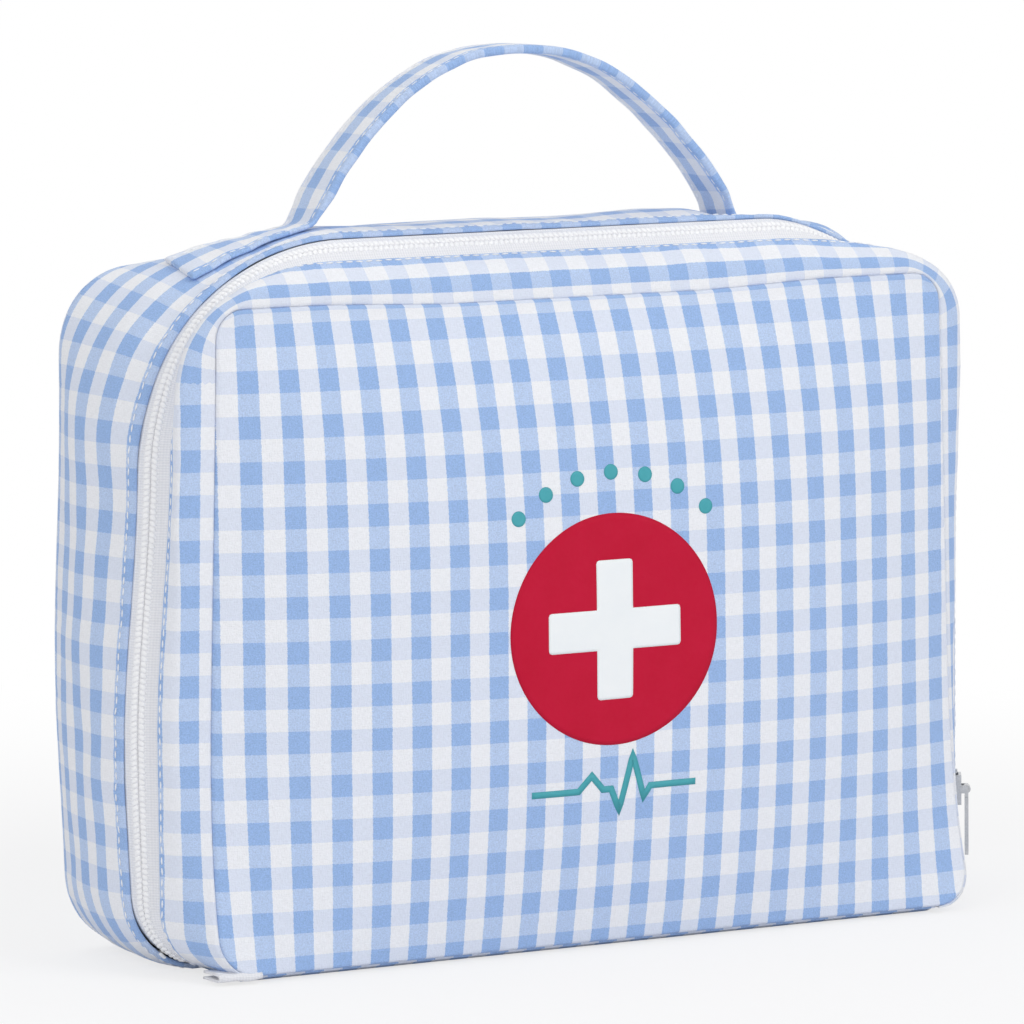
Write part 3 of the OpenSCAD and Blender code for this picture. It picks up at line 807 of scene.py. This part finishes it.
def panel_waves(x, z):
    """Soft unevenness of the front panel, deepest under its top seam."""
    from_top = PANEL_TOP - z
    from_side = PANEL_HALF_W - abs(x - FRONT_SHIFT)
    from_base = z - HINGE_Z
    waves = 0.55 * ripple(x / 38, z / 46, 21.0) + 0.25 * ripple(x / 17, z / 22, 24.0)
    top = 0.8 * ripple(x / 9, z / 60, 27.0) * math.exp(-from_top / 16) * smooth_step(0, 5, from_top)
    sides = 0.5 * ripple(z / 9, x / 50, 31.0) * math.exp(-from_side / 10) * smooth_step(0, 4, from_side)
    base = 0.4 * ripple(x / 9, z / 50, 34.0) * math.exp(-from_base / 10) * smooth_step(0, 4, from_base)
    fade = smooth_step(0, 14, min(from_top, from_side, from_base))
    return waves * fade + top + sides + base


def panel_surface(x, z):
    """Depth of the front panel's face away from its seams."""
    return front_face(x, z) - panel_waves(x, z)


def make_front_panel():
    across, up = spread(PANEL_HALF_W, 2.0, *PANEL_EDGE), spread(PANEL_HALF_H, 2.0, *PANEL_EDGE)

    def spot(i, j):
        x, z = rounded(across[i], up[j], PANEL_HALF_W, PANEL_HALF_H, 8.0, LOW_CORNER)
        z += PANEL_MID
        distance = min(PANEL_HALF_W - abs(across[i]), PANEL_HALF_H - abs(up[j]))
        x = FRONT_SHIFT + x * taper(z)
        return x, z - seam_dip(x, z), distance

    def place(i, j):
        x, z, distance = spot(i, j)
        return Vector((x, panel_surface(x, z) + edge_roll(distance, PANEL_ROLL), z))

    def weave(i, j):
        x, z, _ = spot(i, j)
        # The bands crowd together just under the top seam
        crowded = 5.5 * (1 - min((PANEL_HALF_H - up[j]) / 4.5, 1.0)) ** 2
        fallen = BAND_FALL * (x + PANEL_HALF_W)
        return x - FRONT_SHIFT - FIRST_STRIPE_X, FIRST_BAND_Z - fallen - z - crowded

    piece = cloth_sheet("front_panel", across, up, place, GINGHAM, (0, 0, 90), weave)
    thicken(piece, PANEL_T)
    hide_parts("front_panel", "front_wadding")
    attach(piece, "lid")


def rear_surface(x, z):
    """Depth of the back panel's crowned face."""
    s, t = min(abs(x) / REAR_HALF_W, 1.0), min(abs(z - REAR_TOP / 2) / (REAR_TOP / 2), 1.0)
    waves = 0.7 * ripple(x / 40, z / 44, 41.0) + 0.3 * ripple(x / 16, z / 20, 44.0)
    edge = min(REAR_HALF_W - abs(x), REAR_TOP - z, z)
    return REAR_SEAM_Y + REAR_CROWN * (1 - s ** 3) * (1 - t ** 3) + waves * smooth_step(0, 14, edge)


def make_rear_panel():
    half_h = (REAR_TOP - CASE_BASE) / 2
    across, up = spread(REAR_HALF_W, 2.4, *PANEL_EDGE), spread(half_h, 2.4, *PANEL_EDGE)

    def spot(i, j):
        x, z = rounded(across[i], up[j], REAR_HALF_W, half_h, REAR_R, REAR_HALF_W - CORNER_SEAM_X)
        x, z = settled(x, REAR_SEAM_Y, z + half_h + CASE_BASE)
        return x, z, min(REAR_HALF_W - abs(across[i]), half_h - abs(up[j]))

    def place(i, j):
        x, z, distance = spot(i, j)
        return Vector((x, rear_surface(x, z) - edge_roll(distance, REAR_ROLL) + REAR_ROLL, z))

    def weave(i, j):
        x, z, _ = spot(i, j)
        return x + CHECK_W / 2, z

    piece = cloth_sheet("rear_panel", across, up, place, GINGHAM, (0, 0, 90), weave)
    thicken(piece, PANEL_T)
    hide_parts("rear_panel", "rear_wadding")
    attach(piece, "case")


def make_panel_lining(name, half_w, half_h, middle, radii, face, inward, body):
    across, up = spread(half_w, 4.0, *LINING_EDGE), spread(half_h, 4.0, *LINING_EDGE)

    def place(i, j):
        x, z = rounded(across[i], up[j], half_w, half_h, *radii)
        x, z = x + middle[0], z + middle[1]
        y = face(x, z) + inward
        x, z = settled(x, y, z)
        return Vector((x, y, z))

    piece = cloth_sheet(name, across, up, place, LINING, (0, inward * 30, 90))
    thicken(piece, CLOTH_T)
    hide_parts(name)
    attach(piece, body)


def make_base():
    """Bottom cloth, lying on the table."""
    half_y = (REAR_SEAM_Y - 0.2 - HINGE_Y) / 2
    mid_y = HINGE_Y + half_y
    half_x = CORNER_SEAM_X - 0.3
    across, deep = spread(half_x, 3.0, 4, 0.4), spread(half_y, 3.0, 4, 0.4)

    def place(i, j):
        edge = min(half_x - abs(across[i]), half_y - abs(deep[j]))
        y = deep[j] + mid_y
        tuck = smooth_step(HINGE_Y + 6, HINGE_Y, y)
        return Vector((across[i], y + 1.2 * tuck, 0.02 + edge_roll(edge, 0.6) * (1 - tuck) + 1.5 * tuck))

    piece = cloth_sheet("base_panel", across, deep, place, GINGHAM, (0, mid_y, 20))
    thicken(piece, FOLD_T)
    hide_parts("base_panel")
    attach(piece, "case")


def make_base_lining():
    """Lining over the board."""
    low, high = (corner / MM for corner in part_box("base_lining"))
    half = (high - low) / 2
    middle = (high + low) / 2
    across, deep = spread(half.x, 4.0, 2, 0.5), spread(half.y, 4.0, 2, 0.5)

    def place(i, j):
        return Vector((middle.x + across[i], middle.y + deep[j],
                       high.z + 0.15 * ripple(across[i] / 20, deep[j] / 20, 51.0)))

    piece = cloth_sheet("base_lining", across, deep, place, LINING, (0, middle.y, -20))
    thicken(piece, CLOTH_T)
    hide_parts("base_lining")
    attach(piece, "case")


# Ink above the cloth, and above other ink
ON_CLOTH, ON_INK = 0.07, 0.14
INK_STEP = 1.5
# The dots above the disc: their radius, how far out they lie, and the angle to the next one and to the last
DOT_R, DOTS_OUT, DOT_TURN, LAST_DOT = 2.1, 11, 14, 42
# The pulse line below the disc: how far down it lies, its width and its points
PULSE_DOWN, PULSE_W = 12, 1.8
PULSE = [(-25, 0), (-11, 0), (-7, 4), (-3.5, 0), (-1, 0), (1.5, -6), (5.5, 9), (9, -3), (11, 0), (25, 0)]


def make_print(name, material, pieces, proud=ON_CLOTH):
    """Ink that follows the front panel. Each piece is (columns, rows, place), which gives flat x and z."""
    bm = bmesh.new()
    bm.loops.layers.uv.new("weave")
    for columns, rows, flat_place in pieces:
        part = cloth_grid(columns, rows, lambda i, j: Vector((*flat_place(i, j), 0)).xzy, lambda i, j: (i, j))
        add_part(bm, part)
    bmesh.ops.remove_doubles(bm, verts=bm.verts, dist=0.01)
    for vert in bm.verts:
        vert.co.y = panel_surface(vert.co.x, vert.co.z) - proud
    bmesh.ops.recalc_face_normals(bm, faces=bm.faces)
    piece = finish_piece(bm, name, material, (0, 0, 90))
    thicken(piece, 0.05)
    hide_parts(name)
    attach(piece, "lid")


def disc(x, z, radius, rings, around):
    """A round print as a grid of rings."""
    def place(i, j):
        r, a = radius * j / rings, 2 * math.pi * i / around
        return x + r * math.cos(a), z + r * math.sin(a)
    return around, rings, place


def bar(x0, x1, z0, z1, step):
    columns, rows = max(1, round((x1 - x0) / step)), max(1, round((z1 - z0) / step))
    return columns, rows, lambda i, j: (mix(x0, x1, i / columns), mix(z0, z1, j / rows))


def stroke(points, width):
    """A line of ink through points, mitred where it turns."""
    steps = []
    for a, b in zip(points, points[1:]):
        count = max(1, round((b - a).length / INK_STEP))
        steps += [a.lerp(b, k / count) for k in range(count)]
    steps.append(points[-1])

    def place(i, j):
        here = steps[i]
        before, after = steps[max(i - 1, 0)], steps[min(i + 1, len(steps) - 1)]
        one = (here - before).normalized() if i else (after - here).normalized()
        two = (after - here).normalized() if i < len(steps) - 1 else one
        tangent = (one + two).normalized()
        widen = 1 / max(tangent.dot(two), 0.55)
        side = Vector((-tangent.y, tangent.x)) * (j - 0.5) * width * widen
        return here.x + side.x, here.y + side.y
    return len(steps) - 1, 1, place


def cross_bar(x0, x1, z0, z1):
    """A rectangle of the cross, about the middle of the disc, with the arms' ends a little rounded."""
    columns, rows, flat = bar(x0, x1, z0, z1, 0.9)

    def place(i, j):
        x, z = flat(i, j)
        if abs(x) > CROSS_W / 2 + 0.01:
            x, z = rounded(x, z, CROSS_L / 2, CROSS_W / 2, CROSS_R, CROSS_R)
        elif abs(z) > CROSS_W / 2 + 0.01:
            x, z = rounded(x, z, CROSS_W / 2, CROSS_H / 2, CROSS_R, CROSS_R)
        return x + DISC_X, z + DISC_Z
    return columns, rows, place


def make_prints():
    reach, rise, half_w = CROSS_L / 2, CROSS_H / 2, CROSS_W / 2
    make_print("red_disc_print", RED_INK, [disc(DISC_X, DISC_Z, DISC_R, 20, 120)])
    sides = [(-reach, -half_w, -half_w, half_w), (-half_w, half_w, -half_w, half_w),
             (half_w, reach, -half_w, half_w), (-half_w, half_w, half_w, rise),
             (-half_w, half_w, -rise, -half_w)]
    make_print("white_cross_print", WHITE_INK, [cross_bar(*edges) for edges in sides], ON_INK)
    dots, out = [], DISC_R + DOTS_OUT
    for angle in range(-LAST_DOT, LAST_DOT + 1, DOT_TURN):
        a = math.radians(angle)
        dots.append(disc(DISC_X + out * math.sin(a), DISC_Z + out * math.cos(a), DOT_R, 3, 24))
    make_print("dots_print", TEAL_INK, dots)
    line = [Vector((x + DISC_X, z + DISC_Z - DISC_R - PULSE_DOWN)) for x, z in PULSE]
    make_print("pulse_line_print", TEAL_INK, [stroke(line, PULSE_W)])


def gusset_line(y):
    """Middle of the gusset's top corner at a depth, and its radius."""
    share = (y - GUSSET_FORE[3]) / (GUSSET_AFT[3] - GUSSET_FORE[3])
    half_w, top, radius, _ = (mix(a, b, share) for a, b in zip(GUSSET_FORE, GUSSET_AFT))
    return half_w - radius, top - radius, radius


def gusset_height(x, y):
    """Height of the gusset's top at a place."""
    mid_x, mid_z, radius = gusset_line(y)
    shift = left_lean(y, mid_z + radius) * smooth_step(0, 50, -x)
    out = max(abs(x - shift) - mid_x, 0)
    return mid_z + math.sqrt(radius ** 2 - out ** 2) - top_sag(x, y)


# Distance between the points of the strap's line, and how many at each end have no stitches under them
STRAP_STEP, SEWN_POINTS = 1.5, 28
# Height of the sewn ends above the gusset, and distance of the stitches from the strap's edge
TAB_LIFT, STITCH_IN = 0.8, 2.3
# Places across half the strap, closer together at its folded edge and at its stitches
STRAP_PLACES = [-9.5, -9.3, -8.9, -8.2, -7.6, -7.2, -6.8, -6, -4.5, -3, -1.5, 0]


def tab_line(foot, side):
    """Middle line of a sewn-down end, from its tip to its foot, on the left where side is -1."""
    mid_x, _, radius = gusset_line(STRAP_Y)
    points = []
    for k in range(13):
        beyond = mix(foot + TAB_L, foot, k / 12) - mid_x
        x = side * (mid_x + min(beyond, 0) + radius * math.sin(max(beyond, 0) / radius))
        points.append(Vector((x, gusset_height(x, STRAP_Y) + TAB_LIFT + TAB_T / 2)))
    return points


def strap_line():
    """Middle line of the strap, from its left sewn end over the arch to its right sewn end."""
    arch = []
    for k in range(-40, 41):
        u = k / 40
        x = (FOOT_X + math.copysign(ARCH_LEAN, u)) * u - ARCH_LEAN - HANDLE_SHIFT
        arch.append(Vector((x, STRAP_Z + ARCH_H * (1 - abs(u) ** ARCH_POWER))))
    arch = [p for p in arch if p.y > STRAP_Z + 2.5]
    rough = tab_line(FOOT_X + HANDLE_SHIFT, -1) + arch + tab_line(FOOT_X - HANDLE_SHIFT, 1)[::-1]
    even = [rough[0]] + [spot for spot, _ in even_spots(rough, STRAP_STEP)] + [rough[-1]]
    for _ in range(2):
        even = [even[0]] + [(a + 2 * b + c) / 4 for a, b, c in zip(even, even[1:], even[2:])] + [even[-1]]
    return even


def strap_height(c):
    """Half thickness of the strap at c across it, round at its folded edges and pinched at its stitches."""
    edge = STRAP_W / 2 - abs(c)
    full = STRAP_T / 2
    rounding = math.sqrt(max(1 - (1 - min(edge / 1.1, 1)) ** 2, 0.0))
    pinch = 0.28 * math.exp(-((edge - STITCH_IN) / 0.5) ** 2)
    return full * rounding - pinch


def on_tab(line, k):
    """1 on the strap's sewn-down ends, 0 on its arch."""
    return smooth_step(STRAP_Z + 9, STRAP_Z + 1, line[k].y)


def strap_frame(line, k):
    """Place and outward direction of the strap's middle line."""
    ahead = (line[min(k + 1, len(line) - 1)] - line[max(k - 1, 0)]).normalized()
    return line[k], Vector((-ahead.y, ahead.x))


def strap_point(line, k, c, h):
    """Point of the strap at c across it and h above its middle line."""
    here, up = strap_frame(line, k)
    s, sewn = k * STRAP_STEP, on_tab(line, k)
    wave = 0.4 * ripple(s / 9, c / 12, 61.0) + 0.7 * ripple(s / 40, c / 30, 64.0)
    pucker = 0.45 * ripple(s / 5, c / 5, 70.0)
    slide = 0.5 * ripple(s / 14, 0, 67.0)
    place = here + up * (h * mix(1.0, TAB_T / STRAP_T, sewn) + mix(wave, pucker, sewn))
    y = STRAP_Y + c + slide
    sewn_down = gusset_height(place.x, y) - gusset_height(place.x, STRAP_Y)
    return Vector((place.x, y, place.y + sewn * sewn_down))


def make_handle():
    line = strap_line()
    top = [(c, 1) for c in STRAP_PLACES] + [(-c, 1) for c in reversed(STRAP_PLACES[:-1])]
    ring = top + [(c, -1) for c, _ in reversed(top[1:-1])]
    ring.append(ring[0])
    rows = len(line) - 1
    lengths = running_lengths(line)

    def place(i, j):
        c, side = ring[i]
        narrower, thinner = (0.95, 0.7) if j in (0, rows) else (1.0, 1.0)
        return strap_point(line, j, c * narrower, side * strap_height(c) * thinner)

    bm = cloth_grid(len(ring) - 1, rows, place, lambda i, j: (ring[i][0] + 0.7, lengths[j]))
    bmesh.ops.remove_doubles(bm, verts=bm.verts, dist=0.001)
    bmesh.ops.holes_fill(bm, edges=bm.edges, sides=80)
    bmesh.ops.recalc_face_normals(bm, faces=bm.faces)
    strap = finish_piece(bm, "handle", GINGHAM)
    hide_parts("handle_strap", "handle_core", "handle_tab_left", "handle_tab_right")
    bend_at_feet(strap)
    stitch_c = STRAP_W / 2 - STITCH_IN
    for name, c in (("handle_stitches_front", -stitch_c), ("handle_stitches_rear", stitch_c)):
        for side, tag in ((1, "top"), (-1, "under")):
            points = [strap_point(line, k, c, side * (strap_height(c) + 0.05)) for k in range(1, rows)]
            ups = []
            for k in range(1, rows):
                _, up = strap_frame(line, k)
                ups.append(Vector((up.x, 0, up.y)) * side)
            if side < 0:
                points, ups = points[SEWN_POINTS:-SEWN_POINTS], ups[SEWN_POINTS:-SEWN_POINTS]
            make_stitches(f"{name}_{tag}", points, ups, bend_at_feet)


def bend_at_feet(piece):
    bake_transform(piece)


# Thickness of a binding folded round its seam
BINDING_T = 1.5


def make_seam_binding(name, near, far, shares, base):
    """Narrow tape over a seam's raw edges, between two shares of the way from one row to another."""
    rows = smooth_rows([between_rows(near, far, share) for share in shares], 1.0)
    piece = SideCloth(rows, base).piece(name, INNER_COLUMNS, BINDING)
    thicken(piece, BINDING_T)
    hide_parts(name)
    return piece


def make_bindings():
    """Bindings of the back seam, the front seam and both bottom corners."""
    rear = make_seam_binding("rear_seam_binding", Row(GUSSET_AFT, 3.9), Row(REAR_SEAM, 3.9), (0.56, 0.7),
                             CASE_BASE)
    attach(rear, "case")
    join_at_corner(make_seam_binding("front_seam_binding", Row(STRIP_EDGE, 3.95), Row(STRIP_MID, 3.95),
                                     (0.4, 1), HINGE_Z))
    for side in ("left", "right"):
        node = "corner_binding_" + side
        low, high = (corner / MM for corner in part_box(node))
        bm = bmesh.new()
        bmesh.ops.create_cube(bm, size=1.0)
        bmesh.ops.scale(bm, vec=high - low, verts=bm.verts)
        bmesh.ops.translate(bm, vec=(high + low) / 2, verts=bm.verts)
        bmesh.ops.bevel(bm, geom=bm.edges, offset=0.45, offset_type="OFFSET", segments=3, profile=0.5,
                        affect="EDGES", material=-1)
        bm.loops.layers.uv.new("weave")
        piece = finish_piece(bm, node, BINDING)
        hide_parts(node)
        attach(piece, "case")


def make_tape_end():
    """The end of the zip's tape, folded under the front panel's lower left corner."""
    columns, rows = 10, 16
    left, width, fold_y, back_y = -114.0, 12, -35.6, -28.0
    low, radius = 1.1, 1.1

    def place(i, j):
        run = j / rows
        if run < 0.4:
            y, z = mix(back_y, fold_y, run / 0.4), low
        elif run < 0.6:
            angle = math.pi * (run - 0.4) / 0.2
            y, z = fold_y - radius * math.sin(angle), low + radius * (1 - math.cos(angle))
        else:
            y, z = mix(fold_y, back_y, (run - 0.6) / 0.4), low + 2 * radius
        x = left + width * i / columns + 0.8 * math.sin(3 * run)
        return Vector((x, y - 0.15 * i, z + 0.4 * ripple(i / 3, j / 4, 81.0)))

    bm = cloth_grid(columns, rows, place, lambda i, j: (1.3 * i, 1.4 * j))
    piece = finish_piece(bm, "zip_tape_end", TAPE, (left + 6, -32.0, low + radius))
    thicken(piece, 0.6)
    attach(piece, "case")


def make_end_tack():
    """Bar of stitches that closes the zip's lower left end."""
    low, high = (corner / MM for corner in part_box("zip_end_tack"))
    middle = (low + high) / 2
    bm = bmesh.new()
    out = Vector((-1, 0, -1)).normalized()
    ahead = Vector((0, 1, 0))
    along = out.cross(ahead)
    frames = [(middle + along * (k - 2) * 0.35, ahead, ahead.cross(out), out, 0.0) for k in range(5)]
    stamp_beads(bm, frames, (2.4, 0.5, 0.9))
    piece = finish_piece(bm, "zip_end_tack", THREAD)
    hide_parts("zip_end_tack")
    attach(piece, "case")


def dress_frame_nodes():
    """Materials of the frame's own pieces, those that nothing replaces."""
    finishes = {"slider_top_plate": METAL, "slider_back_plate": METAL, "slider_bail": METAL,
                "pull_tab": METAL, "zip_stop_front": METAL, "zip_stop_rear": METAL, "base_board": BOARD}
    for name, material in finishes.items():
        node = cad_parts[name]
        node.data.materials.clear()
        node.data.materials.append(material)


def make_linings():
    """Linings of the gusset, the strip and both panels."""
    make_side_linings()
    make_panel_lining("front_lining", PANEL_HALF_W - 4, PANEL_HALF_H - 3, middle=(FRONT_SHIFT, PANEL_MID),
                      radii=(6.0, 4.0), face=front_face, inward=4.8, body="lid")
    make_panel_lining("rear_lining", REAR_HALF_W - 3.5, REAR_TOP / 2 - 3, middle=(0, REAR_TOP / 2),
                      radii=(REAR_R - 3, 18.0), face=rear_surface, inward=-4.2, body="case")


# Width of the photo in pixels, and of the camera's sensor in millimetres
PHOTO_W, SENSOR_W = 1024, 36
# The camera was fitted with a half check of 6 mm, and this many pixels to a millimetre at its distance
FITTED_CHECK, PHOTO_SCALE = 6, 3.414


def make_camera():
    """The photographed view: a long lens, from the left and a little above."""
    azimuth, elevation, roll = (math.radians(a) for a in (27.0, 6.878, -0.543))
    distance, shift_right, shift_up, scale = 1971.5, 31.594, -32.308, CHECK_W / FITTED_CHECK
    ahead = Vector((math.sin(azimuth) * math.cos(elevation), math.cos(azimuth) * math.cos(elevation),
                    -math.sin(elevation)))
    right = Vector((math.cos(azimuth), -math.sin(azimuth), 0))
    up = right.cross(ahead)
    turned_right = right * math.cos(roll) + up * math.sin(roll)
    turned_up = up * math.cos(roll) - right * math.sin(roll)
    place = -(turned_right * shift_right + turned_up * shift_up + ahead * distance) * scale
    place += Vector((FRONT_SHIFT, FRONT_Y, PANEL_MID))
    camera = bpy.data.objects.new("camera", bpy.data.cameras.new("camera"))
    camera.data.lens = PHOTO_SCALE * distance * SENSOR_W / PHOTO_W
    camera.data.clip_end = 20
    turn = Matrix((turned_right, turned_up, -ahead)).transposed().to_4x4()
    camera.matrix_world = Matrix.Translation(place * MM) @ turn
    bpy.context.scene.collection.objects.link(camera)
    bpy.context.scene.camera = camera


def area_lamp(name, place, size, power):
    """A soft lamp that points at the case. Its place and size are in metres."""
    lamp = bpy.data.objects.new(name, bpy.data.lights.new(name, "AREA"))
    lamp.data.shape = "DISK"
    lamp.data.size = size
    lamp.data.energy = power
    lamp.location = place
    lamp.rotation_euler = (Vector((0, 0, 0.1)) - Vector(place)).to_track_quat("-Z", "Y").to_euler()
    bpy.context.scene.collection.objects.link(lamp)


# Strength of the surroundings as a light. The camera and the gloss see them at 1
SKY = 0.46
# Radius of the floor, and the distances in metres between which it brightens into the surroundings
FLOOR_R, FADE_START, FADE_END = 6000, 0.15, 0.5


def make_studio():
    """White surroundings, a pale floor that keeps the shadow, and soft lamps."""
    world = bpy.data.worlds.new("studio")
    bpy.context.scene.world = world
    world.use_nodes = True
    tree = world.node_tree
    background = tree.nodes["Background"]
    path = tree.nodes.new("ShaderNodeLightPath")
    seen = tree.nodes.new("ShaderNodeMath")
    seen.operation = "MAXIMUM"
    tree.links.new(path.outputs["Is Camera Ray"], seen.inputs[0])
    tree.links.new(path.outputs["Is Glossy Ray"], seen.inputs[1])
    level = tree.nodes.new("ShaderNodeMath")
    level.operation = "MULTIPLY_ADD"
    level.inputs[1].default_value = 1 - SKY
    level.inputs[2].default_value = SKY
    tree.links.new(seen.outputs[0], level.inputs[0])
    tree.links.new(level.outputs[0], background.inputs["Strength"])
    background.inputs["Color"].default_value = (1, 1, 1, 1)

    bm = bmesh.new()
    bmesh.ops.create_circle(bm, cap_ends=True, segments=96, radius=FLOOR_R)
    paint = Paint("floor_white", roughness=0.95, specular=0.1)
    paint.set("Base Color", rgb(238, 238, 240))
    camera_ray = paint.node("LightPath", None, None, "Is Camera Ray")
    glossy_ray = paint.node("LightPath", None, None, "Is Glossy Ray")
    place = paint.node("TexCoord", None, None, 3)
    reach = paint.node("VectorMath", {"operation": "LENGTH"}, {0: place}, 1)
    far = paint.node("MapRange", {"interpolation_type": "SMOOTHSTEP"},
                     {0: reach, 1: FADE_START, 2: FADE_END, 3: 0.72, 4: 1.0})
    glow = paint.node("Emission", None, {"Color": (1, 1, 1, 1), "Strength": 1.0})
    output = next(n for n in paint.tree.nodes if n.type == "OUTPUT_MATERIAL")
    mixed = paint.node("MixShader", None, {0: paint.math("MAXIMUM", camera_ray, glossy_ray) * far,
                                           1: Value(paint, paint.shader.outputs[0]), 2: glow})
    paint.tree.links.new(mixed.socket, output.inputs["Surface"])
    floor = finish_piece(bm, "floor", paint.material)

    area_lamp("key", (0.9, -1.5, 1.3), size=1.2, power=15)
    area_lamp("fill", (-1.6, -0.9, 0.8), size=1.4, power=9)
    area_lamp("top", (0, 0.4, 1.9), size=1.6, power=8)


bpy.context.scene.view_settings.view_transform = "Standard"
make_camera()
make_gusset()
make_strip()
make_zip()
make_front_panel()
make_prints()
make_rear_panel()
make_base()
make_base_lining()
make_linings()
make_bindings()
make_end_tack()
make_tape_end()
make_handle()
dress_frame_nodes()
make_studio()
